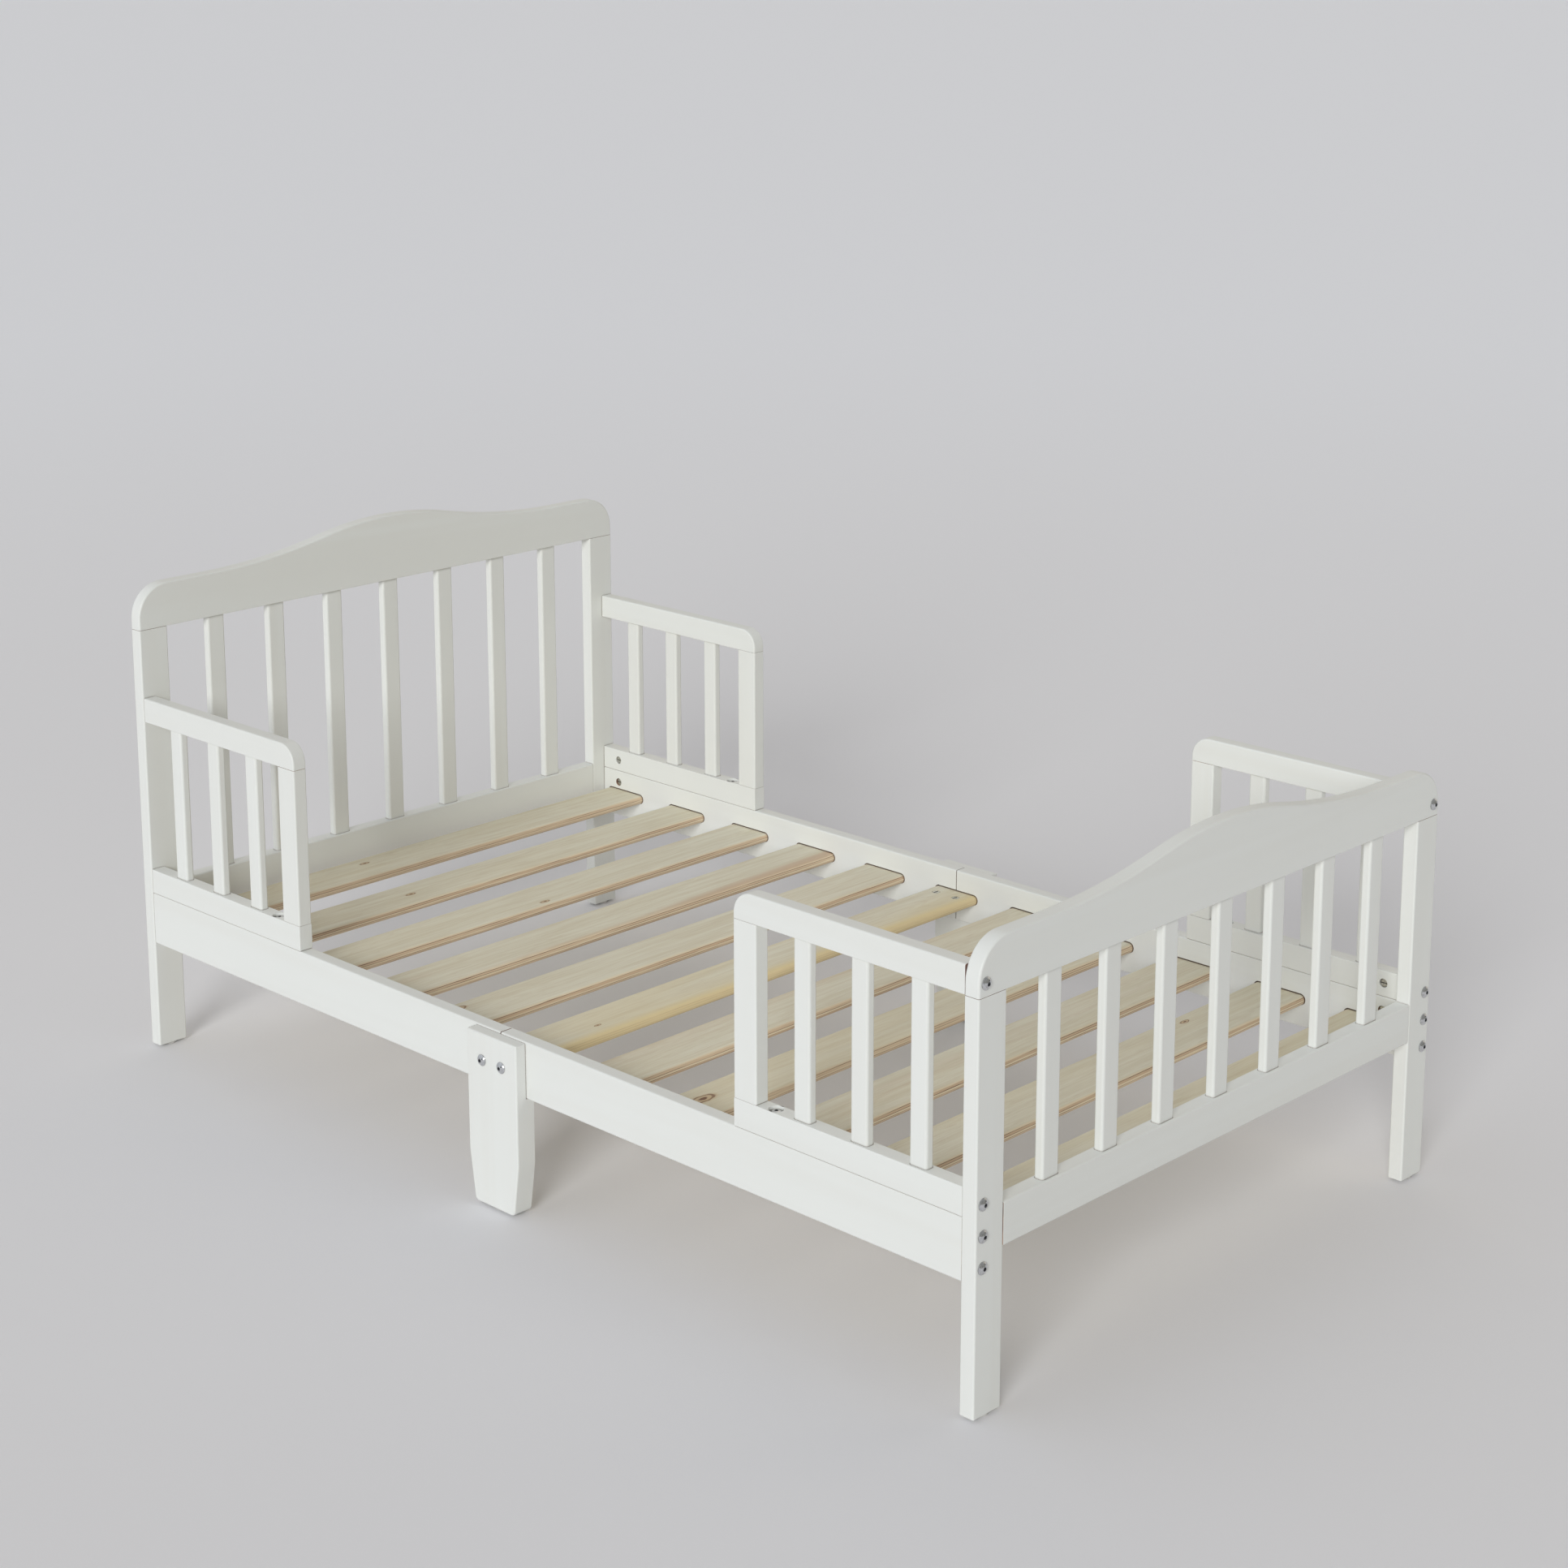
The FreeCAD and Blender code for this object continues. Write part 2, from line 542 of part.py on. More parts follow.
def draw_stadium(sketch, x, y, width, height):
    """A slot outline about (x, y) with full-round ends."""
    mid_x, mid_y, end = value(x), value(y), value(height)/2
    reach = value(width)/2 - end
    bottom = sketch.addGeometry(Part.LineSegment(Vector(mid_x - reach, mid_y - end, 0),
                                                 Vector(mid_x + reach, mid_y - end, 0)), False)
    right = draw_arc(sketch, mid_x + reach, mid_y, end, -90, 90)
    top = sketch.addGeometry(Part.LineSegment(Vector(mid_x + reach, mid_y + end, 0),
                                              Vector(mid_x - reach, mid_y + end, 0)), False)
    left = draw_arc(sketch, mid_x - reach, mid_y, end, 90, 270)
    for one, two in ((bottom, right), (right, top), (top, left), (left, bottom)):
        sketch.addConstraint(Sketcher.Constraint("Tangent", one, 2, two, 1))
    sketch.addConstraint(Sketcher.Constraint("Horizontal", bottom))
    sketch.addConstraint(Sketcher.Constraint("Equal", right, left))
    pin(sketch, right, 3, f"({x}) + ({width})/2 - ({height})/2", y)
    bind(sketch, "DistanceX", -1, 1, left, 3, f"({x}) - ({width})/2 + ({height})/2")
    bind(sketch, "Radius", right, f"({height})/2")
    return sketch


def cut_bar_row(body, label, level, depth, towards):
    """The mortises for a guard's bars."""
    mortise = add_sketch(body, "XY_Plane", label + "Mortise", level)
    draw_rounded(mortise, GUARD_FIRST_BAR, "0", "guard_bar_width + 2*mortise_gap",
                 "spindle_thickness + 2*mortise_gap", "spindle_round + mortise_gap")
    first = cut(body, mortise, depth, towards)
    repeat(body, first, mortise, "H_Axis", GUARD_BAR_PITCH, "guard_bar_count")


def cut_end_dowel(body, name, level, towards):
    dowel = add_sketch(body, "XY_Plane", name, level)
    draw_circle(dowel, GUARD_END_MIDDLE, "0", DOWEL_HOLE)
    cut(body, dowel, DOWEL_DEPTH, towards)


def make_guard_foot(end, side, inner):
    label = f"guard_bottom_rail_{end}_{side}"
    body = add_body(label)
    section = add_sketch(body, "YZ_Plane", label + "Section")
    draw_rectangle(section, "-side_thickness/2", SIDE_TOP, "side_thickness/2", GUARD_FLOOR)
    board = pad(body, section, "guard_length", ALONG_X)
    soften(body, board, "edge_round/2", runs_along(ALONG_X))
    cut_bar_row(body, label, GUARD_FLOOR, "tenon_depth", -ALONG_Z)
    cut_end_dowel(body, label + "Dowel", GUARD_FLOOR, -ALONG_Z)
    cut_end_bolts(body, label + "Bolt", [GUARD_BOLT])
    cut_from_inner(body, label + "Nut", inner, [("nut_setback", GUARD_BOLT, NUT_HOLE)],
                   "side_thickness/2 + nut_length/2")
    for name, diameter, depth in (("Screw", "screw_diameter", "guard_foot_height"),
                                  ("Recess", "counterbore_diameter", "counterbore_depth")):
        hole = add_sketch(body, "XY_Plane", label + name, GUARD_FLOOR)
        draw_circle(hole, SCREW_PLACE, "0", diameter)
        cut(body, hole, depth, -ALONG_Z)
    place_side(body, end, side)
    return keep(body)


def make_guard_end(end, side):
    label = f"guard_end_post_{end}_{side}"
    body = add_body(label)
    section = add_sketch(body, "XY_Plane", label + "Section", GUARD_FLOOR)
    draw_rectangle(section, "guard_length - guard_end_width", "-side_thickness/2",
                   "guard_length", "side_thickness/2")
    stick = pad(body, section, f"{FOOT_JOINT} - {GUARD_FLOOR}", ALONG_Z)
    soften(body, stick, "edge_round", runs_along(ALONG_Z))
    cut_end_dowel(body, label + "LowDowel", GUARD_FLOOR, ALONG_Z)
    cut_end_dowel(body, label + "TopDowel", FOOT_JOINT, -ALONG_Z)
    place_side(body, end, side)
    return keep(body)


def make_guard_top(end, side):
    """The guard's top rail, rounded at its free corner."""
    label = f"guard_top_rail_{end}_{side}"
    body = add_body(label)
    outline = add_sketch(body, "XZ_Plane", label + "Outline")
    draw_rectangle(outline, "0", FOOT_JOINT, "guard_length", GUARD_TOP)
    board = pad(body, outline, "side_thickness")
    length, top = value("guard_length"), value(GUARD_TOP)

    def free_corner(edge):
        box = edge.BoundBox
        return box.YLength > 1 and box.XMin > length - 0.01 and box.ZMin > top - 0.01
    rounded = soften(body, board, "guard_corner", free_corner)
    face, low = value("side_thickness/2"), value(FOOT_JOINT)

    def on_outline(edge):
        box = edge.BoundBox
        return (box.YLength < 0.01 and abs(abs(box.YMin) - face) < 0.01
                and box.ZMax > low + 0.01 and box.XMax > 0.01)
    soften(body, rounded, "edge_round", on_outline)
    cut_bar_row(body, label, FOOT_JOINT, "tenon_depth + tenon_gap", ALONG_Z)
    cut_end_dowel(body, label + "Dowel", FOOT_JOINT, ALONG_Z)
    cut_end_bolts(body, label + "Bolt", [TOP_BOLT])
    nut = add_sketch(body, "XY_Plane", label + "Nut", FOOT_JOINT)
    draw_circle(nut, "nut_setback", "0", NUT_HOLE)
    cut(body, nut, "top_bolt_rise + nut_length/2", ALONG_Z)
    place_side(body, end, side)
    return keep(body)


# ------------------------------------------------------------- slats and legs

def make_slat(number):
    body = add_body(f"slat_{number:02d}")
    section = add_sketch(body, "XZ_Plane", body.Label + "Section")
    draw_rounded(section, "0", f"{SLAT_FLOOR} + slat_thickness/2", "slat_width", "slat_thickness", SLAT_ROUND)
    pad(body, section, f"2*{SLAT_REACH}")
    if number == (round(value("slat_count")) + 1)//2:
        cut_tie_holes(body)
    place(body, f"{SLAT_PITCH}*({number} - (slat_count + 1)/2)")
    return keep(body)


def cut_tie_holes(body):
    """The middle slat takes the leg bolts in its ends and their nuts from above."""
    for name, side, towards in (("Far", "", -ALONG_Y), ("Near", "-", ALONG_Y)):
        bores = add_sketch(body, "XZ_Plane", name + "TieBores", f"-({side}{SLAT_REACH})")
        nuts = add_sketch(body, "XY_Plane", name + "TieNuts", f"{SLAT_FLOOR} + slat_thickness")
        for sign in ("", "-"):
            draw_circle(bores, f"{sign}leg_bolt_offset", SLAT_MIDDLE, BOLT_HOLE)
            draw_circle(nuts, f"{sign}leg_bolt_offset", f"{side}({SIDE_INNER} - slat_nut_reach)", NUT_HOLE)
        cut(body, bores, f"{SLAT_REACH} - ({LEG_OUTER} - bolt_length) + tenon_gap", towards)
        cut(body, nuts, "slat_thickness", -ALONG_Z)


def make_leg(label, far):
    """A centre leg with y = 0 on the side rail's outer face and its front at -Y."""
    body = add_body(label)
    outline = add_sketch(body, "XZ_Plane", label + "Outline", "leg_front")
    foot, wide = "(leg_width/2 - leg_taper)", "leg_width/2"
    bend, top = "glide_height + leg_taper_height", f"{SIDE_TOP} - leg_drop"
    draw_polygon(outline, [(f"-{foot}", "glide_height"), (foot, "glide_height"), (wide, bend),
                           (wide, top), (f"-{wide}", top), (f"-{wide}", bend)])
    board = pad(body, outline, "leg_front + leg_step", ALONG_Y)
    low, high = value("glide_height"), value(bend)

    def crosses_at(level):
        return lambda edge: edge.BoundBox.YLength > 1 and abs(edge.BoundBox.ZMin - level) < 0.01
    bent = soften(body, board, "leg_bend_radius", crosses_at(high))
    toes = soften(body, bent, "leg_toe_radius", crosses_at(low))
    front = -value("leg_front")

    def on_front(edge):
        return edge.BoundBox.YLength < 0.01 and abs(edge.BoundBox.YMin - front) < 0.01
    soften(body, toes, "edge_round", on_front)
    lap = add_sketch(body, "XZ_Plane", label + "Lap", "-leg_step")
    draw_rectangle(lap, "-leg_width", "side_bottom", "leg_width", SIDE_TOP)
    cut(body, lap, "leg_step", -ALONG_Y)
    bores = add_sketch(body, "XZ_Plane", label + "Bores", "leg_front")
    for sign in ("", "-"):
        draw_circle(bores, f"{sign}leg_bolt_offset", SLAT_MIDDLE, BOLT_HOLE)
    cut(body, bores, "leg_front", ALONG_Y)
    place(body, "0", SIDE_OUTER if far else f"-{SIDE_OUTER}", turned=far)
    return keep(body)


# ---------------------------------------------------------------- small parts
# One pattern piece of each kind stands along Z, and a group holds its copies.

def revolve(body, sketch):
    feature = body.newObject("PartDesign::Revolution", sketch.Name + "Turned")
    feature.Profile = sketch
    feature.ReferenceAxis = (sketch, ["V_Axis"])
    feature.Angle = 360
    doc.recompute()
    return feature


def make_bolt(label, diameter, length, tip):
    """A dome-headed bolt: the head's seat at z = 0, the shank below it."""
    body = add_body(label)
    profile = add_sketch(body, "XZ_Plane", label + "Profile")
    dome = "(head_height - head_rim)"
    ball = f"((head_diameter/2)^2 + {dome}^2)/(2*{dome})"
    corners = [("0", f"-{length}"), (f"{diameter}/2 - {tip}/2", f"-{length}"),
               (f"{diameter}/2", f"{tip} - {length}"), (f"{diameter}/2", "0"),
               ("head_diameter/2", "0"), ("head_diameter/2", "head_rim")]
    points = [Vector(value(x), value(y), 0) for x, y in corners] + [Vector(0, value("head_height"), 0)]
    for start, end in zip(points[:-2], points[1:-1]):
        profile.addGeometry(Part.LineSegment(start, end), False)
    middle = value(f"head_height - {ball}")
    rim_angle = math.degrees(math.atan2(value("head_rim") - middle, value("head_diameter/2")))
    arc = draw_arc(profile, 0, middle, value(ball), rim_angle, 90)
    axis = profile.addGeometry(Part.LineSegment(points[-1], points[0]), False)
    for number, (x, y) in enumerate(corners[:-1]):
        pin(profile, number, 1, x, y)
        profile.addConstraint(Sketcher.Constraint("Coincident", number, 2, number + 1, 1))
    pin(profile, arc, 1, *corners[-1])
    profile.addConstraint(Sketcher.Constraint("PointOnObject", arc, 3, -2))
    profile.addConstraint(Sketcher.Constraint("Coincident", arc, 2, axis, 1))
    profile.addConstraint(Sketcher.Constraint("Coincident", axis, 2, 0, 1))
    pin(profile, axis, 1, "0", "head_height")
    revolve(body, profile)
    socket = add_sketch(body, "XY_Plane", label + "Socket", "head_height")
    half, side = "socket_width/2", "socket_width/(2*cos(30))"
    draw_polygon(socket, [(side, "0"), (f"{side}/2", half), (f"-{side}/2", half), (f"-{side}", "0"),
                          (f"-{side}/2", f"-{half}"), (f"{side}/2", f"-{half}")])
    cut(body, socket, "socket_depth", -ALONG_Z)
    return body


def make_cylinder(body, diameter, length):
    section = add_sketch(body, "XY_Plane", body.Label + "Section")
    draw_circle(section, "0", "0", diameter)
    return pad(body, section, length)


def chamfer_ends(body, feature, size):
    rims = [f"Edge{number}" for number, edge in enumerate(feature.Shape.Edges, start=1)
            if edge.BoundBox.ZLength < 0.01]
    bevel = body.newObject("PartDesign::Chamfer", feature.Name + "Bevel")
    bevel.Base = (feature, rims)
    bevel.setExpression("Size", full(size))
    doc.recompute()


def make_nut(label, length):
    """A barrel nut about its middle, its driver slot at +Z and its cross hole along X."""
    body = add_body(label)
    chamfer_ends(body, make_cylinder(body, "nut_diameter", length), "nut_bevel")
    slot = add_sketch(body, "XY_Plane", label + "Slot", f"{length}/2")
    draw_rectangle(slot, "-nut_diameter", "-nut_slot_width/2", "nut_diameter", "nut_slot_width/2")
    cut(body, slot, "nut_slot_depth", -ALONG_Z)
    cross = add_sketch(body, "YZ_Plane", label + "Cross", "nut_diameter")
    draw_circle(cross, "0", "0", "bolt_diameter + thread_gap")
    cut(body, cross, "2*nut_diameter", -ALONG_X)
    return body


def make_plain(label, diameter, length, bevel):
    body = add_body(label)
    chamfer_ends(body, make_cylinder(body, diameter, length), bevel)
    return body


def group(label, copies):
    """One node from (pattern, place, direction of its +Z, direction of its +X)."""
    links = []
    for pattern, spot, up, across in copies:
        link = doc.addObject("App::Link", f"{label}_{len(links) + 1}")
        link.LinkedObject = pattern
        link.Placement = Placement(Vector(), Rotation(across, Vector(), up, "ZXY"))
        for axis, expression in zip("xyz", spot):
            link.setExpression(f"Placement.Base.{axis}", full(expression))
        links.append(link)
    item = doc.addObject("Part::Compound", label)
    item.Label = label
    item.Links = links
    return keep(item)


def make_connector_bolts():
    bolt = make_bolt("bolt_pattern_piece", "bolt_diameter", "bolt_length", "bolt_point")
    copies = []
    for end, outward in (("-", -ALONG_X), ("", ALONG_X)):
        for side in ("-", ""):
            for height in (LOW_BOLT, HIGH_BOLT, GUARD_BOLT, TOP_BOLT):
                spot = (f"{end}bed_length/2", f"{side}{SIDE_MIDDLE}", height)
                copies.append((bolt, spot, outward, ALONG_Z))
    for side, outward in (("-", -ALONG_Y), ("", ALONG_Y)):
        for step in ("-", ""):
            spot = (f"{step}leg_bolt_offset", f"{side}{LEG_OUTER}", SLAT_MIDDLE)
            copies.append((bolt, spot, outward, ALONG_Z))
    group("connector_bolts", copies)


def make_barrel_nuts():
    nut = make_nut("nut_pattern_piece", "nut_length")
    short = make_nut("slat_nut_pattern_piece", "slat_nut_length")
    copies = []
    for side, inward in (("-", ALONG_Y), ("", -ALONG_Y)):
        for end in ("-", ""):
            x, y = f"{end}({POST_FACE} - nut_setback)", f"{side}{SIDE_MIDDLE}"
            for height in (LOW_BOLT, HIGH_BOLT, GUARD_BOLT):
                copies.append((nut, (x, y, height), inward, ALONG_X))
            copies.append((nut, (x, y, TOP_BOLT), -ALONG_Z, ALONG_X))
            spot = (f"{end}leg_bolt_offset", f"{side}({SIDE_INNER} - slat_nut_reach)", SLAT_MIDDLE)
            copies.append((short, spot, ALONG_Z, ALONG_Y))
    group("barrel_nuts", copies)


def make_guard_screws():
    screw = make_bolt("screw_pattern_piece", "screw_diameter", f"({SCREW_SEAT} - {SCREW_TIP})", "screw_point")
    spots = [(f"{end}({POST_FACE} - {SCREW_PLACE})", f"{side}{SIDE_MIDDLE}", SCREW_SEAT)
             for end in ("-", "") for side in ("-", "")]
    group("guard_screws", [(screw, spot, ALONG_Z, ALONG_X) for spot in spots])


def make_dowels():
    dowel = make_plain("dowel_pattern_piece", "dowel_diameter", "dowel_length", "dowel_bevel")
    copies = []
    for end, joint in (("-", "head_joint"), ("", FOOT_JOINT)):
        for side in ("-", ""):
            x, y = f"{end}{FRAME_MIDDLE}", f"{side}(bed_width/2 - post_dowel_inset)"
            copies.append((dowel, (x, y, joint), ALONG_Z, ALONG_X))
            for sign in "+-":
                spot = (x, f"{side}{END_RAIL_LENGTH}/2", f"{END_RAIL_MIDDLE} {sign} dowel_spread")
                copies.append((dowel, spot, ALONG_Y, ALONG_X))
            for level in (GUARD_FLOOR, FOOT_JOINT):
                spot = (f"{end}({POST_FACE} - {GUARD_END_MIDDLE})", f"{side}{SIDE_MIDDLE}", level)
                copies.append((dowel, spot, ALONG_Z, ALONG_X))
    for side in ("-", ""):
        for sign in "+-":
            spot = ("0", f"{side}{SIDE_MIDDLE}", f"{SLAT_MIDDLE} {sign} seam_dowel_spread")
            copies.append((dowel, spot, ALONG_X, ALONG_Z))
    group("wood_dowels", copies)


def make_glides():
    glide = make_plain("glide_pattern_piece", "glide_diameter", "glide_height", "glide_bevel")
    copies = []
    for side in ("-", ""):
        for end in ("-", ""):
            spot = (f"{end}{FRAME_MIDDLE}", f"{side}(bed_width/2 - post_width/2)", "glide_height/2")
            copies.append((glide, spot, ALONG_Z, ALONG_X))
        leg_middle = f"{side}({SIDE_OUTER} + (leg_front - leg_step)/2)"
        copies.append((glide, ("0", leg_middle, "glide_height/2"), ALONG_Z, ALONG_X))
    group("floor_glides", copies)


def make_guard_bar():
    body = add_body("guard_bar_pattern_piece")
    section = add_sketch(body, "XY_Plane", "GuardBarSection")
    draw_rounded(section, "0", "0", "guard_bar_width", "spindle_thickness", "spindle_round")
    pad(body, section, f"{FOOT_JOINT} - {GUARD_FLOOR} + 2*tenon_depth", ALONG_Z)
    return body


def make_guard_bars(end, side, bar):
    copies = []
    for number in range(round(value("guard_bar_count"))):
        reach = f"({POST_FACE} - {GUARD_FIRST_BAR} - {number}*{GUARD_BAR_PITCH})"
        spot = (f"{'-' if end == 'head' else ''}{reach}", f"{'-' if side == 'near' else ''}{SIDE_MIDDLE}",
                f"{GUARD_FLOOR} - tenon_depth")
        copies.append((bar, spot, ALONG_Z, ALONG_X))
    group(f"guard_spindles_{end}_{side}", copies)


# ------------------------------------------------------------------- assembly

make_end_frame("head", "-", "head_joint", [LOW_BOLT, HIGH_BOLT, GUARD_BOLT, TOP_BOLT], bolted=False)
make_end_frame("foot", "", FOOT_JOINT, [LOW_BOLT, HIGH_BOLT, GUARD_BOLT], bolted=True)
guard_bar = make_guard_bar()
for end, side, inner in CORNERS:
    make_side_rail(end, side, inner)
    make_guard_foot(end, side, inner)
    make_guard_end(end, side)
    make_guard_top(end, side)
    make_guard_bars(end, side, guard_bar)
for number in range(1, round(value("slat_count")) + 1):
    make_slat(number)
make_leg("centre_leg_near", far=False)
make_leg("centre_leg_far", far=True)
make_connector_bolts()
make_barrel_nuts()
make_guard_screws()
make_dowels()
make_glides()
doc.recompute()

for item in doc.Objects:
    if {"Invalid", "Error"} & set(item.State):
        raise RuntimeError(f"{item.Name} failed: {item.State}")
for item in NODES:
    if item.Shape.isNull() or not item.Shape.isValid() or not item.Shape.Solids:
        raise RuntimeError(f"{item.Label} has no valid solid")

os.makedirs("parts", exist_ok=True)
for item in NODES:
    item.Shape.exportStep(f"parts/{item.Label}.step")
whole = Part.makeCompound([item.Shape for item in NODES]).BoundBox
print(f"{len(NODES)} nodes, {sum(len(item.Shape.Solids) for item in NODES)} solids,",
      f"{whole.XLength:.1f} x {whole.YLength:.1f} x {whole.ZLength:.1f} mm")
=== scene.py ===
from math import cos, radians, sin

import bmesh
import bpy
from mathutils import Matrix, Vector
from mathutils.bvhtree import BVHTree


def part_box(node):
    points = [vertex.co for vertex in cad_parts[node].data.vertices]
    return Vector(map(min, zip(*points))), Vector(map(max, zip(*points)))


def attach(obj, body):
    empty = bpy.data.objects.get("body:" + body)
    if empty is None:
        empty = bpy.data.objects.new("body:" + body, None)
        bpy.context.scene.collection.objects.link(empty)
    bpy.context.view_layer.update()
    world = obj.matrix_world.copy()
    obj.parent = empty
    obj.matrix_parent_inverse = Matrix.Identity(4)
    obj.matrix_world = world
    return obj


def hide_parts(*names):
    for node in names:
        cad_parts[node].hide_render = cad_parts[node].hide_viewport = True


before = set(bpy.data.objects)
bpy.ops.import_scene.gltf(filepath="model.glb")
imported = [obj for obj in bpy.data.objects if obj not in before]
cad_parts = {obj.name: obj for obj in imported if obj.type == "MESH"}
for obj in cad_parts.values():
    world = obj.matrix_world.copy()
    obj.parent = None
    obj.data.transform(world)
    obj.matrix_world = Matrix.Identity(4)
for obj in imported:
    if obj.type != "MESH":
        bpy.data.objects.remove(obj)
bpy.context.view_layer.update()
print("frame loaded:", len(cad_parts), "nodes")

scene = bpy.context.scene
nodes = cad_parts


# small helpers for node trees
noiseSpread = (0.3, 0.7)         # nearly all of a noise lies between these levels


def addNode(tree, kind, inputs=None, **settings):
    node = tree.nodes.new(kind)
    for name, value in settings.items():
        setattr(node, name, value)
    for name, value in (inputs or {}).items():
        connect(tree, value, node.inputs[name])
    return node


def connect(tree, value, socket):
    if isinstance(value, bpy.types.NodeSocket):
        tree.links.new(value, socket)
    else:
        socket.default_value = value


def calc(tree, operation, first, second=0.0, clamp=False):
    node = addNode(tree, "ShaderNodeMath", {0: first, 1: second}, operation=operation, use_clamp=clamp)
    return node.outputs[0]


def scaled(tree, value, share):
    return calc(tree, "MULTIPLY", value, share)


def smoothRange(tree, value, start, end, low=0.0, high=1.0):
    node = addNode(tree, "ShaderNodeMapRange", {0: value, 1: start, 2: end, 3: low, 4: high},
                   interpolation_type="SMOOTHSTEP")
    return node.outputs[0]


def mixColour(tree, factor, first, second, blend="MIX"):
    node = tree.nodes.new("ShaderNodeMix")
    node.data_type = "RGBA"
    node.blend_type = blend
    connect(tree, factor, node.inputs[0])
    connect(tree, first, node.inputs[6])
    connect(tree, second, node.inputs[7])
    return node.outputs[2]


def noise(tree, vector, scale, detail=2.0, roughness=0.5, distortion=0.0):
    node = addNode(tree, "ShaderNodeTexNoise", {
        "Vector": vector, "Scale": scale, "Detail": detail,
        "Roughness": roughness, "Distortion": distortion})
    return node.outputs["Fac"]


def stretched(tree, vector, scale, shift=(0, 0, 0)):
    node = addNode(tree, "ShaderNodeMapping", {"Vector": vector, "Location": shift, "Scale": scale})
    return node.outputs[0]


def newGroup(name, inputs, outputs):
    group = bpy.data.node_groups.new(name, "ShaderNodeTree")
    for label, kind, value in inputs:
        socket = group.interface.new_socket(label, in_out="INPUT", socket_type="NodeSocket" + kind)
        socket.default_value = value
    for label, kind in outputs:
        group.interface.new_socket(label, in_out="OUTPUT", socket_type="NodeSocket" + kind)
    start = group.nodes.new("NodeGroupInput")
    end = group.nodes.new("NodeGroupOutput")
    return group, start.outputs, end.inputs


def placeGroup(tree, group, **inputs):
    node = tree.nodes.new("ShaderNodeGroup")
    node.node_tree = group
    for label, value in inputs.items():
        connect(tree, value, node.inputs[label])
    return node.outputs


def newMaterial(name, **constants):
    material = bpy.data.materials.new(name)
    material.use_nodes = True
    tree = material.node_tree
    shader = tree.nodes["Principled BSDF"]
    for label, value in constants.items():
        shader.inputs[label.replace("_", " ")].default_value = value
    where = tree.nodes.new("ShaderNodeTexCoord").outputs["Object"]
    return material, tree, shader.inputs, where


def bump(tree, height, strength, distance):
    node = addNode(tree, "ShaderNodeBump", {"Height": height, "Strength": strength, "Distance": distance})
    return node.outputs[0]


# effects that several finishes share
hollowShadeShape = {
    "samples": 6,
    "sky": (0.78, 0.25),         # how much a point still sees of what is round it: no painted shade, full painted shade
}


def makeShadeInHollows():
    # a mask of painted shade for where two faces close in on each other: seams, slots, screw recesses
    group, given, put = newGroup("shadeInHollows", [("Reach", "Float", 0.004)], [("Mask", "Float")])
    shade = addNode(group, "ShaderNodeAmbientOcclusion", {"Distance": given["Reach"]},
                    samples=hollowShadeShape["samples"])
    mask = smoothRange(group, shade.outputs["AO"], *hollowShadeShape["sky"])
    group.links.new(mask, put["Mask"])
    return group


wearShape = {
    "samples": 4,
    "bend": (0.985, 0.86),       # how alike the rounded and the flat normal are: untouched, fully worn
    "patch": (0.42, 0.66),       # noise levels between which the wear breaks up
}


def makeEdgeWear():
    # where the surface bends sharply the coat is thin; a noise breaks the line up
    group, given, put = newGroup("edgeWear", [
        ("Vector", "Vector", (0, 0, 0)), ("Radius", "Float", 0.0012), ("Patch", "Float", 60.0)],
        [("Mask", "Float")])
    soft = addNode(group, "ShaderNodeBevel", {"Radius": given["Radius"]}, samples=wearShape["samples"])
    flat = group.nodes.new("ShaderNodeNewGeometry")
    turn = addNode(group, "ShaderNodeVectorMath", {0: soft.outputs[0], 1: flat.outputs["Normal"]},
                   operation="DOT_PRODUCT")
    bend = smoothRange(group, turn.outputs["Value"], *wearShape["bend"])
    patch = noise(group, given["Vector"], given["Patch"], 3.0, 0.6)
    broken = smoothRange(group, patch, *wearShape["patch"])
    group.links.new(scaled(group, bend, broken), put["Mask"])
    return group


grainShape = {
    "poreFineness": 4.5,         # pores against fibres
    "driftFineness": 0.13,       # the slow drift in tone against fibres
    "poreDepth": (0.36, 0.24),   # noise levels between which a pore opens
    "fibreBend": 0.3,
    "driftBend": 0.8,
}


def makeGrain():
    # wood grain running along the group's own Y: long fibres, pores and a slow drift in tone
    group, given, put = newGroup("grain", [
        ("Vector", "Vector", (0, 0, 0)), ("Fibre", "Float", 260.0), ("Stretch", "Float", 0.03)],
        [("Fibres", "Float"), ("Pores", "Float"), ("Drift", "Float")])
    squeeze = addNode(group, "ShaderNodeCombineXYZ", {0: 1.0, 1: given["Stretch"], 2: 1.0})
    drawn = addNode(group, "ShaderNodeVectorMath", {0: given["Vector"], 1: squeeze.outputs[0]},
                    operation="MULTIPLY").outputs[0]
    fibres = noise(group, drawn, given["Fibre"], 4.0, 0.62, grainShape["fibreBend"])
    fine = noise(group, drawn, scaled(group, given["Fibre"], grainShape["poreFineness"]), 2.0, 0.5)
    pores = smoothRange(group, fine, *grainShape["poreDepth"])
    slow = scaled(group, given["Fibre"], grainShape["driftFineness"])
    drift = noise(group, drawn, slow, 2.0, 0.5, grainShape["driftBend"])
    group.links.new(fibres, put["Fibres"])
    group.links.new(pores, put["Pores"])
    group.links.new(drift, put["Drift"])
    return group


knotShape = {
    "drawn": (1.0, 0.42, 0.25),  # a knot reaches further along the grain and down than across
    "wobbleScale": 110.0,
    "wobble": 0.45,              # these and the rest are shares of the knot's radius
    "eye": (0.5, 0.28),
    "rim": 0.95,
    "rimWidth": (0.2, 0.05),
    "halo": (1.5, 0.85),
}


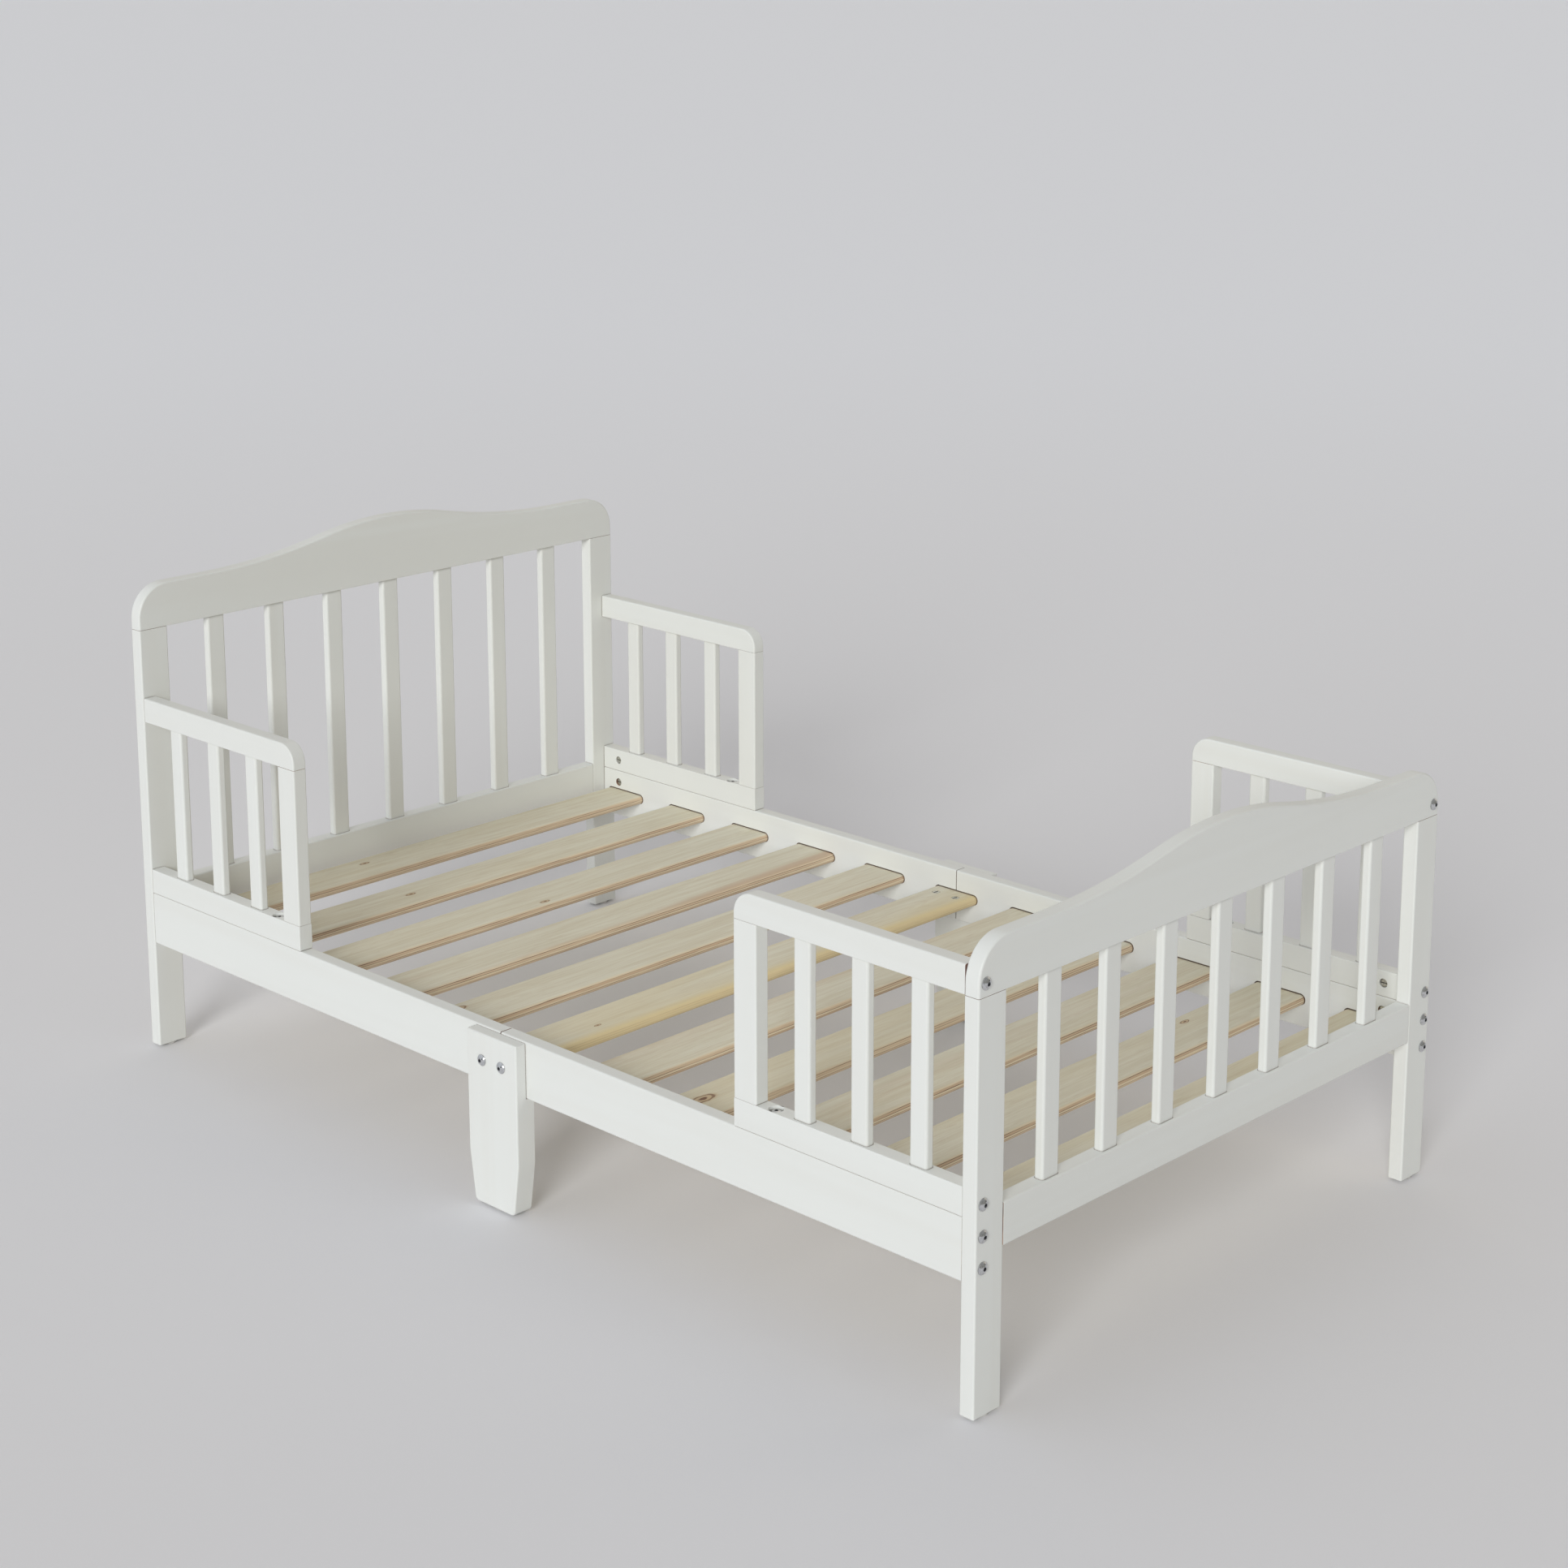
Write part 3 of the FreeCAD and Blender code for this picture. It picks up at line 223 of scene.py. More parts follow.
def makeKnot():
    # one knot: a dark eye, a dark rim round it and a halo drawn out along the grain
    group, given, put = newGroup("knot", [
        ("Vector", "Vector", (0, 0, 0)), ("Centre", "Vector", (0, 0, 0)), ("Radius", "Float", 0.008)],
        [("Eye", "Float"), ("Rim", "Float"), ("Halo", "Float")])
    apart = addNode(group, "ShaderNodeVectorMath", {0: given["Vector"], 1: given["Centre"]},
                    operation="SUBTRACT").outputs[0]
    wobble = calc(group, "SUBTRACT", noise(group, apart, knotShape["wobbleScale"], 1.0), 0.5)
    flat = addNode(group, "ShaderNodeVectorMath", {0: apart, 1: knotShape["drawn"]},
                   operation="MULTIPLY").outputs[0]
    length = addNode(group, "ShaderNodeVectorMath", {0: flat}, operation="LENGTH").outputs["Value"]
    share = calc(group, "DIVIDE", length, given["Radius"])
    share = calc(group, "ADD", share, scaled(group, wobble, knotShape["wobble"]))
    fromRim = calc(group, "ABSOLUTE", calc(group, "SUBTRACT", share, knotShape["rim"]))
    group.links.new(smoothRange(group, share, *knotShape["eye"]), put["Eye"])
    group.links.new(smoothRange(group, fromRim, *knotShape["rimWidth"]), put["Rim"])
    group.links.new(smoothRange(group, share, *knotShape["halo"]), put["Halo"])
    return group


shadeInHollows = makeShadeInHollows()
edgeWear = makeEdgeWear()
grain = makeGrain()
knot = makeKnot()


# the finishes themselves
paint = {
    "colour": (0.805, 0.815, 0.785, 1),
    "shade": (0.79, 0.795, 0.76, 1),       # the slow drift in tone
    "seam": (0.27, 0.22, 0.18, 1),         # painted shade where faces close in, tinted brown like raw wood in a joint
    "seamShare": 0.75,
    "seamReach": 0.0032,
    "wear": (0.77, 0.71, 0.60, 1),         # wood just showing through on an edge
    "wearShare": 0.35,
    "poreShare": 0.05,
    "roughness": (0.36, 0.46),
    "fibreScale": 210.0,
    "fibreStretch": 0.035,
    "brushScale": 38.0,
    "brushStretch": (1, 0.12, 1),
    "peelScale": 420.0,
    "bumpStrength": 0.35,
    "bumpDepth": 0.00012,
}
# what turns the grain's Y to each axis
quarterTurns = {"X": (0, 0, radians(90)), "Y": (0, 0, 0), "Z": (radians(90), 0, 0)}


def paintFinish(name, along):
    material, tree, shader, where = newMaterial(name, IOR=1.48, Specular_IOR_Level=0.42)
    laid = addNode(tree, "ShaderNodeMapping", {"Vector": where, "Rotation": quarterTurns[along]}).outputs[0]
    wood = placeGroup(tree, grain, Vector=laid, Fibre=paint["fibreScale"], Stretch=paint["fibreStretch"])
    peel = noise(tree, where, paint["peelScale"], 2.0, 0.5)
    brush = noise(tree, stretched(tree, laid, paint["brushStretch"]), paint["brushScale"], 3.0, 0.55)
    tone = mixColour(tree, smoothRange(tree, wood["Drift"], *noiseSpread), paint["colour"], paint["shade"])
    tone = mixColour(tree, scaled(tree, wood["Pores"], paint["poreShare"]), tone, paint["wear"])
    worn = placeGroup(tree, edgeWear, Vector=where)["Mask"]
    tone = mixColour(tree, scaled(tree, worn, paint["wearShare"]), tone, paint["wear"])
    # painted shade: darker and browner where faces close in, at seams, slots and screw recesses
    hollowShaded = placeGroup(tree, shadeInHollows, Reach=paint["seamReach"])["Mask"]
    tone = mixColour(tree, scaled(tree, hollowShaded, paint["seamShare"]), tone, paint["seam"])
    tree.links.new(tone, shader["Base Color"])
    tree.links.new(smoothRange(tree, brush, *noiseSpread, *paint["roughness"]), shader["Roughness"])
    height = calc(tree, "ADD", scaled(tree, wood["Fibres"], 0.5), scaled(tree, peel, 0.5))
    tree.links.new(bump(tree, height, paint["bumpStrength"], paint["bumpDepth"]), shader["Normal"])
    return material


rawCut = {
    "colour": (0.42, 0.27, 0.19, 1),
    "burnt": (0.17, 0.09, 0.07, 1),
    "scorch": (0.35, 0.6),       # levels of the drift between which the wood is burnt
    "roughness": (0.72, 0.9),
    "fibreScale": 420.0,
    "fibreStretch": 0.2,
    "cutterMarks": 900.0,
    "bumpStrength": 0.5,
    "bumpDepth": 0.0002,
}


def rawCutFinish():
    # wood left bare and scorched where the router cut a slot or a hole
    material, tree, shader, where = newMaterial("rawCutWood")
    wood = placeGroup(tree, grain, Vector=where, Fibre=rawCut["fibreScale"], Stretch=rawCut["fibreStretch"])
    marks = noise(tree, stretched(tree, where, (1, 1, 0.05)), rawCut["cutterMarks"], 1.0)
    scorch = smoothRange(tree, wood["Drift"], *rawCut["scorch"])
    tone = mixColour(tree, scorch, rawCut["colour"], rawCut["burnt"])
    tree.links.new(tone, shader["Base Color"])
    tree.links.new(smoothRange(tree, marks, *noiseSpread, *rawCut["roughness"]), shader["Roughness"])
    tree.links.new(bump(tree, marks, rawCut["bumpStrength"], rawCut["bumpDepth"]), shader["Normal"])
    return material


plywood = {
    "plies": 5,
    "face": (0.785, 0.74, 0.59, 1),
    "faceDark": (0.715, 0.65, 0.49, 1),
    "pores": (0.52, 0.39, 0.24, 1),
    "edge": (0.83, 0.71, 0.51, 1),
    "edgeDark": (0.60, 0.41, 0.26, 1),
    "glue": (0.16, 0.07, 0.045, 1),
    "knot": (0.20, 0.09, 0.045, 1),
    "amber": (0.58, 0.37, 0.17, 1),        # resin round a knot
    "yellow": (0.79, 0.645, 0.35, 1),
    "roughness": (0.52, 0.66),
    "turned": (0.90, 0.70),                # how far a normal points up: face, edge
    "fibreScale": 150.0,
    "fibreStretch": 0.045,
    "faceFibres": (0.32, 0.72),
    "edgeFibres": (0.55, 0.75),
    "edgeFibreShare": 0.35,
    "bandScale": 34.0,                     # growth bands on the face
    "bandCount": 46.0,
    "bandShare": 0.12,
    "streak": (0.57, 0.74),                # levels of the drift between which a streak darkens
    "streakShare": 0.75,
    "poreShare": 0.30,
    "heartScale": 17.0,                    # yellow heartwood
    "heart": (0.42, 0.62),
    "heartEdge": (0.016, 0.033),           # from the middle of the slat, in metres
    "yellowOnEdge": 0.3,
    "heartOnEdge": 0.8,
    "swayScale": 26.0,
    "sway": 0.55,                          # how far a ply wanders, in plies
    "crossPlyShare": 0.45,                 # every other ply shows its end grain, which is darker
    "plyToneShare": 0.4,
    "gapScale": 90.0,
    "glueLine": (0.18, 0.05),              # from the joint between two plies, in plies
    "glueGaps": (0.40, 0.54),
    "glueShare": 0.85,
    "split": (0.38, 0.14),
    "splitGaps": (0.64, 0.68),
    "haloShare": 0.6,                      # round a knot
    "rimShare": 0.75,
    # painted shade in the glue's dark colour where faces close in
    "seamReach": 0.003,
    "seamShare": 0.85,
    "bumpStrength": 0.4,
    "bumpDepth": 0.0002,
}

# what tells one slat from the next: shares of yellow heartwood on the face and along the edge that
# looks to the foot, how streaky it is, and its knots: place along, place across, size, in metres
slatLooks = {
    1: {"yellow": 0.10, "heartEdge": 0.0, "streaks": 0.45, "knots": [(-0.085, -0.012, 0.003)]},
    2: {"yellow": 0.05, "heartEdge": 0.0, "streaks": 0.30, "knots": [(-0.120, 0.004, 0.003)]},
    3: {"yellow": 0.05, "heartEdge": 0.0, "streaks": 0.20, "knots": [(-0.020, 0.024, 0.003)]},
    4: {"yellow": 0.08, "heartEdge": 0.0, "streaks": 1.00, "knots": []},
    5: {"yellow": 0.05, "heartEdge": 0.0, "streaks": 0.30, "knots": [(-0.332, -0.018, 0.005)]},
    6: {"yellow": 0.30, "heartEdge": 0.9, "streaks": 0.90, "knots": [(-0.255, 0.010, 0.002)]},
    7: {"yellow": 0.12, "heartEdge": 0.0, "streaks": 0.25, "knots": []},
    8: {"yellow": 0.20, "heartEdge": 0.0, "streaks": 0.50, "knots": [(-0.318, -0.004, 0.0068)]},
    9: {"yellow": 0.10, "heartEdge": 0.0, "streaks": 0.35, "knots": []},
    10: {"yellow": 0.12, "heartEdge": 0.0, "streaks": 0.55, "knots": [(0.210, -0.017, 0.003)]},
    11: {"yellow": 0.20, "heartEdge": 0.0, "streaks": 0.30, "knots": [(-0.060, 0.008, 0.003)]},
}


def slatFace(tree, own, wood, look, footSide):
    # the broad faces: fibres, growth bands, dark streaks and yellow heartwood
    rings = noise(tree, stretched(tree, own, (1, 0.07, 1)), plywood["bandScale"], 3.0, 0.55, 1.4)
    bands = smoothRange(tree, calc(tree, "SINE", scaled(tree, rings, plywood["bandCount"])), 0.0, 1.0)
    streak = smoothRange(tree, wood["Drift"], *plywood["streak"])
    heart = noise(tree, stretched(tree, own, (1, 0.09, 1)), plywood["heartScale"], 2.0)
    heart = smoothRange(tree, heart, *plywood["heart"])
    fibres = smoothRange(tree, wood["Fibres"], *plywood["faceFibres"])
    tone = mixColour(tree, fibres, plywood["face"], plywood["faceDark"])
    tone = mixColour(tree, scaled(tree, bands, plywood["bandShare"]), tone, plywood["pores"])
    streakShare = plywood["streakShare"] * look["streaks"]
    tone = mixColour(tree, scaled(tree, streak, streakShare), tone, plywood["edgeDark"])
    tone = mixColour(tree, scaled(tree, heart, look["yellow"]), tone, plywood["yellow"])
    tone = mixColour(tree, scaled(tree, footSide, look["heartEdge"]), tone, plywood["yellow"])
    return mixColour(tree, scaled(tree, wood["Pores"], plywood["poreShare"]), tone, plywood["pores"])


def slatEdge(tree, own, wood, look, level, number):
    # the rounded long edges, where every veneer comes out as a band with glue and splits between
    sway = noise(tree, stretched(tree, own, (1, 0.3, 1)), plywood["swayScale"], 2.0)
    level = calc(tree, "ADD", level, scaled(tree, calc(tree, "SUBTRACT", sway, 0.5), plywood["sway"]))
    whichPly = calc(tree, "FLOOR", level)
    plyTone = addNode(tree, "ShaderNodeTexWhiteNoise", {"W": calc(tree, "ADD", whichPly, number * 11.0)},
                      noise_dimensions="1D").outputs[0]
    crossPly = calc(tree, "MODULO", calc(tree, "ADD", whichPly, 2 * plywood["plies"]), 2.0)
    shade = calc(tree, "ADD", scaled(tree, crossPly, plywood["crossPlyShare"]),
                 scaled(tree, plyTone, plywood["plyToneShare"]))
    fibres = smoothRange(tree, wood["Fibres"], *plywood["edgeFibres"])
    fromGlue = calc(tree, "PINGPONG", level, 0.5)
    gaps = noise(tree, stretched(tree, own, (1, 0.06, 6)), plywood["gapScale"], 3.0, 0.65)
    glue = scaled(tree, smoothRange(tree, fromGlue, *plywood["glueLine"]),
                  smoothRange(tree, gaps, *plywood["glueGaps"]))
    split = scaled(tree, smoothRange(tree, fromGlue, *plywood["split"]),
                   smoothRange(tree, gaps, *plywood["splitGaps"]))
    yellowShare = max(plywood["yellowOnEdge"] * look["yellow"], plywood["heartOnEdge"] * look["heartEdge"])
    tone = mixColour(tree, shade, plywood["edge"], plywood["edgeDark"])
    tone = mixColour(tree, scaled(tree, fibres, plywood["edgeFibreShare"]), tone, plywood["edgeDark"])
    tone = mixColour(tree, scaled(tree, glue, plywood["glueShare"]), tone, plywood["glue"])
    tone = mixColour(tree, split, tone, plywood["glue"])
    tone = mixColour(tree, yellowShare, tone, plywood["yellow"])
    return tone, calc(tree, "ADD", glue, split, clamp=True)


def addKnots(tree, tone, where, look, middle, top):
    for along, across, radius in look["knots"]:
        centre = (middle.x + across, along, top)
        mark = placeGroup(tree, knot, Vector=where, Centre=centre, Radius=radius)
        tone = mixColour(tree, scaled(tree, mark["Halo"], plywood["haloShare"]), tone, plywood["amber"])
        tone = mixColour(tree, scaled(tree, mark["Rim"], plywood["rimShare"]), tone, plywood["knot"])
        tone = mixColour(tree, mark["Eye"], tone, plywood["knot"])
    return tone


def plywoodFinish(number, lowest, highest):
    look = slatLooks[number]
    middle = (lowest + highest) / 2
    material, tree, shader, where = newMaterial(f"slatPlywood{number:02d}", IOR=1.5)
    elsewhere = (-middle.x + number * 3.1, number * 1.7, number * 2.3)   # each slat has grain of its own
    own = stretched(tree, where, (1, 1, 1), elsewhere)
    wood = placeGroup(tree, grain, Vector=own, Fibre=plywood["fibreScale"], Stretch=plywood["fibreStretch"])
    place = addNode(tree, "ShaderNodeSeparateXYZ", {0: where}).outputs
    facing = tree.nodes.new("ShaderNodeNewGeometry").outputs["Normal"]
    upward = calc(tree, "ABSOLUTE", addNode(tree, "ShaderNodeSeparateXYZ", {0: facing}).outputs["Z"])
    onSide = smoothRange(tree, upward, *plywood["turned"])
    footSide = smoothRange(tree, place["X"], *(middle.x + reach for reach in plywood["heartEdge"]))
    plyThickness = (highest.z - lowest.z) / plywood["plies"]
    level = calc(tree, "DIVIDE", calc(tree, "SUBTRACT", place["Z"], lowest.z), plyThickness)

    face = slatFace(tree, own, wood, look, footSide)
    edge, gaps = slatEdge(tree, own, wood, look, level, number)
    tone = addKnots(tree, mixColour(tree, onSide, face, edge), where, look, middle, highest.z)
    # painted shade: near black where faces close in, as at the slat's ends in their slots and round the nuts
    hollowShaded = placeGroup(tree, shadeInHollows, Reach=plywood["seamReach"])["Mask"]
    tone = mixColour(tree, scaled(tree, hollowShaded, plywood["seamShare"]), tone, plywood["glue"])
    tree.links.new(tone, shader["Base Color"])
    rough = smoothRange(tree, wood["Fibres"], *noiseSpread, *plywood["roughness"])
    tree.links.new(rough, shader["Roughness"])
    hollows = calc(tree, "ADD", wood["Pores"], scaled(tree, gaps, onSide))
    height = calc(tree, "SUBTRACT", wood["Fibres"], hollows)
    tree.links.new(bump(tree, height, plywood["bumpStrength"], plywood["bumpDepth"]), shader["Normal"])
    return material


metal = {
    "bolt": {"clean": (0.74, 0.75, 0.77, 1), "dull": (0.50, 0.51, 0.53, 1), "roughness": (0.16, 0.32)},
    "nut": {"clean": (0.68, 0.68, 0.63, 1), "dull": (0.44, 0.43, 0.37, 1), "roughness": (0.24, 0.42)},
    # painted shade, near black, in the bolts' sockets and the nuts' slots
    "recessShade": (0.02, 0.018, 0.016, 1),
    "recessShadeShare": 0.9,
    "recessShadeReach": 0.003,
    "cloudScale": 520.0,
    "cloud": (0.4, 0.75),
    "scratchScale": 2600.0,
    "scratchShare": 0.4,
    "uneven": (0.5, 0.95),       # levels of cloud and scratches together, from smooth to rough
    "wearShare": 0.5,
    "wearRadius": 0.0004,
    "wearPatch": 900.0,
    "bumpStrength": 0.15,
    "bumpDepth": 0.00005,
}


def metalFinish(name, kind):
    # plated steel: a duller cloud over it, fine scratches, bright edges, and painted shade darkening the
    # recesses
    plating = metal[kind]
    material, tree, shader, where = newMaterial(name, Metallic=1.0)
    cloud = noise(tree, where, metal["cloudScale"], 3.0, 0.6)
    scratch = noise(tree, stretched(tree, where, (1, 0.08, 1)), metal["scratchScale"], 2.0)
    worn = placeGroup(tree, edgeWear, Vector=where, Radius=metal["wearRadius"],
                      Patch=metal["wearPatch"])["Mask"]
    # painted shade: the recesses turn near black where faces close in
    hollowShaded = placeGroup(tree, shadeInHollows, Reach=metal["recessShadeReach"])["Mask"]
    tone = mixColour(tree, smoothRange(tree, cloud, *metal["cloud"]), plating["clean"], plating["dull"])
    tone = mixColour(tree, scaled(tree, worn, metal["wearShare"]), tone, plating["clean"])
    tone = mixColour(tree, scaled(tree, hollowShaded, metal["recessShadeShare"]), tone, metal["recessShade"])
    tree.links.new(tone, shader["Base Color"])
    uneven = calc(tree, "ADD", cloud, scaled(tree, scratch, metal["scratchShare"]))
    tree.links.new(smoothRange(tree, uneven, *metal["uneven"], *plating["roughness"]), shader["Roughness"])
    tree.links.new(bump(tree, scratch, metal["bumpStrength"], metal["bumpDepth"]), shader["Normal"])
    return material


beech = {
    "light": (0.62, 0.43, 0.26, 1),
    "dark": (0.46, 0.29, 0.16, 1),
    "pores": (0.27, 0.15, 0.08, 1),
    "roughness": (0.55, 0.7),
    "fibreScale": 900.0,
    "fibreStretch": 0.1,
    "poreShare": 0.5,
    "bumpStrength": 0.4,
    "bumpDepth": 0.0001,
}


def dowelFinish():
    material, tree, shader, where = newMaterial("beechDowel")
    wood = placeGroup(tree, grain, Vector=where, Fibre=beech["fibreScale"], Stretch=beech["fibreStretch"])
    tone = mixColour(tree, wood["Fibres"], beech["light"], beech["dark"])
    tone = mixColour(tree, scaled(tree, wood["Pores"], beech["poreShare"]), tone, beech["pores"])
    tree.links.new(tone, shader["Base Color"])
    tree.links.new(smoothRange(tree, wood["Fibres"], *noiseSpread, *beech["roughness"]), shader["Roughness"])
    tree.links.new(bump(tree, wood["Fibres"], beech["bumpStrength"], beech["bumpDepth"]), shader["Normal"])
    return material


nylon = {
    "clean": (0.66, 0.65, 0.62, 1),
    "scuffed": (0.42, 0.40, 0.37, 1),
    "roughness": (0.42, 0.62),
    "pitScale": 1800.0,
    "scuffScale": 300.0,
    "scuff": (0.45, 0.75),
    "bumpStrength": 0.3,
    "bumpDepth": 0.0001,
}


def glideFinish():
    # moulded nylon, finely pitted and scuffed underneath
    material, tree, shader, where = newMaterial("glideNylon", IOR=1.5)
    pits = noise(tree, where, nylon["pitScale"], 2.0)
    scuff = noise(tree, stretched(tree, where, (1, 0.15, 1)), nylon["scuffScale"], 3.0, 0.65)
    tone = mixColour(tree, smoothRange(tree, scuff, *nylon["scuff"]), nylon["clean"], nylon["scuffed"])
    tree.links.new(tone, shader["Base Color"])
    tree.links.new(smoothRange(tree, scuff, *noiseSpread, *nylon["roughness"]), shader["Roughness"])
    tree.links.new(bump(tree, pits, nylon["bumpStrength"], nylon["bumpDepth"]), shader["Normal"])
    return material


paints = {axis: paintFinish("whitePaint" + axis, axis) for axis in "XYZ"}
bareCut = rawCutFinish()
boltMetal = metalFinish("brightZinc", "bolt")
nutMetal = metalFinish("dullZinc", "nut")
print("finishes made:", len(bpy.data.materials), "materials")


# the wooden pieces
easing = {
    "paintedEdge": 0.0007,      # radius that sanding and paint leave on a cut edge
    "slatEdge": 0.0005,
    "segments": 2,
    "sharp": radians(50),       # an edge that turns more than this is a cut edge
    "flat": radians(0.5),       # faces that turn less than this are one face
    "shading": radians(40),     # edges that turn more than this are shaded as creases
    "merge": 1e-6,
    "contact": 0.0003,          # faces closer than this touch
    "square": 0.99,             # a cut end's normal lies at least this well along the grain
    "wall": 0.001,              # a slot's or a hole's wall lies further than this inside the piece's box
    "halvesGap": 0.0005,        # what each half of a rail falls short of the middle
}


def cleanCopy(name):
    # the node's own form, with its triangles merged back into whole faces
    form = bmesh.new()
    form.from_mesh(nodes[name].data)
    bmesh.ops.remove_doubles(form, verts=form.verts, dist=easing["merge"])
    bmesh.ops.dissolve_limit(form, angle_limit=easing["flat"], verts=form.verts, edges=form.edges)
    return form


def easeEdges(form, edge):
    cut = [e for e in form.edges if e.is_manifold and e.calc_face_angle() > easing["sharp"]]
    bmesh.ops.bevel(form, geom=cut, offset=edge, offset_type="OFFSET", affect="EDGES",
                    segments=easing["segments"], profile=0.5, material=-1, clamp_overlap=False)
    for face in form.faces:
        face.smooth = True


def finishPiece(name, form, materials):
    mesh = bpy.data.meshes.new(name + "_finished")
    form.to_mesh(mesh)
    form.free()
    for material in materials:
        mesh.materials.append(material)
    mesh.set_sharp_from_angle(angle=easing["shading"])
    piece = bpy.data.objects.new(name + "_finished", mesh)
    scene.collection.objects.link(piece)
    piece.modifiers.new("evenShading", "WEIGHTED_NORMAL").keep_sharp = True
    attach(piece, "root")
    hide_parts(name)


def grainAxis(name):
    low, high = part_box(name)
    size = high - low
    return max(range(3), key=lambda i: size[i])


def isInside(face, low, high):
    # a face whose middle lies within the piece's own box is the wall of a slot or a hole
    middle = face.calc_center_bounds()
    return all(low[i] + easing["wall"] < middle[i] < high[i] - easing["wall"] for i in range(3))


def isJointEnd(face, axis, neighbours):
    # a cut end that meets another piece, where bare wood shows in the seam
    if abs(face.normal[axis]) < easing["square"]:
        return False
    start = face.calc_center_median() - face.normal * easing["contact"]
    return any(tree.ray_cast(start, face.normal, 2 * easing["contact"])[0] for tree in neighbours)


def openMiddleJoint(form):
    # the two halves of a side rail meet in the middle and don't quite close
    ends = [v for v in form.verts if abs(v.co.x) < easing["contact"]]
    centre = sum((v.co for v in form.verts), Vector()) / len(form.verts)
    back = easing["halvesGap"] if centre.x > 0 else -easing["halvesGap"]
    bmesh.ops.translate(form, verts=ends, vec=(back, 0, 0))


def makePainted(name):
    form = cleanCopy(name)
    form.normal_update()
    low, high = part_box(name)
    axis = grainAxis(name)
    neighbours = [tree for other, tree in surfaces.items() if other != name]
    bored = name.startswith("side_rail")
    for face in form.faces:
        bare = (bored and isInside(face, low, high)) or isJointEnd(face, axis, neighbours)
        face.material_index = int(bare)
    if bored:
        openMiddleJoint(form)
    easeEdges(form, easing["paintedEdge"])
    finishPiece(name, form, [paints["XYZ"[axis]], bareCut])


def makeSlat(name):
    number = int(name.split("_")[1])
    form = cleanCopy(name)
    easeEdges(form, easing["slatEdge"])
    finishPiece(name, form, [plywoodFinish(number, *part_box(name))])


def surfaceOf(name):
    form = cleanCopy(name)
    tree = BVHTree.FromBMesh(form)
    form.free()
    return tree


slotOf = {name: node.material_slots[0].material.name for name, node in nodes.items()}
surfaces = {name: surfaceOf(name) for name in nodes if slotOf[name] == "white_wood"}
for name in sorted(nodes):
    if slotOf[name] == "white_wood":
        makePainted(name)
    elif slotOf[name] == "slat_wood":
        makeSlat(name)

hardware = {"bolt_steel": boltMetal, "nut_steel": nutMetal, "dowel_wood": dowelFinish(),
            "glide_plastic": glideFinish()}
for name, node in nodes.items():
    if slotOf[name] in hardware:
        node.material_slots[0].material = hardware[slotOf[name]]
print("hardware finished")


# floor, light and camera
floor = {
    "size": 70.0,                # metres from the middle to each side
    "near": (0.86, 0.85, 0.865, 1),
    "far": (0.92, 0.925, 0.96, 1),
    "fade": (1.0, 7.0),          # metres from the bed between which near turns to the far tone, which is painted light: lighter and cooler, as a lit backdrop looks
    "speck": (0.4, 0.4, 0.4, 1),
    "speckShare": 0.04,
    "speckScale": 500.0,
    "roughness": (0.85, 0.95),
}


def makeFloor():
    form = bmesh.new()
    bmesh.ops.create_grid(form, x_segments=1, y_segments=1, size=floor["size"])
    mesh = bpy.data.meshes.new("studioFloor")
    form.to_mesh(mesh)
    form.free()
    sweep = bpy.data.objects.new("studioFloor", mesh)
    scene.collection.objects.link(sweep)
    material, tree, shader, where = newMaterial("studioPaper", Specular_IOR_Level=0.15)
    away = addNode(tree, "ShaderNodeVectorMath", {0: where}, operation="LENGTH").outputs["Value"]
    speck = noise(tree, where, floor["speckScale"], 2.0)
    # painted light: the floor grows lighter and cooler away from the bed
    tone = mixColour(tree, smoothRange(tree, away, *floor["fade"]), floor["near"], floor["far"])
    tone = mixColour(tree, scaled(tree, speck, floor["speckShare"]), tone, floor["speck"])
    tree.links.new(tone, shader["Base Color"])
    tree.links.new(smoothRange(tree, speck, *noiseSpread, *floor["roughness"]), shader["Roughness"])
    mesh.materials.append(material)


lights = {
    # name: direction the light comes from, strength, width of the source in degrees, colour
    "keySoftbox": ((0.442, -0.827, 0.342), 1.98, 24, (0.985, 1.0, 0.995)),
    "headFill": ((-0.70, -0.50, 0.50), 0.94, 90, (0.96, 0.99, 1.0)),
    "footFill": ((0.87, 0.20, 0.45), 0.36, 90, (1.0, 0.98, 0.84)),
    "backFill": ((-0.30, 0.85, 0.45), 1.03, 90, (1.0, 0.92, 0.77)),
}
dome = {"zenith": (0.14, 0.15, 0.19, 1), "backdrop": (0.60, 0.605, 0.62, 1)}


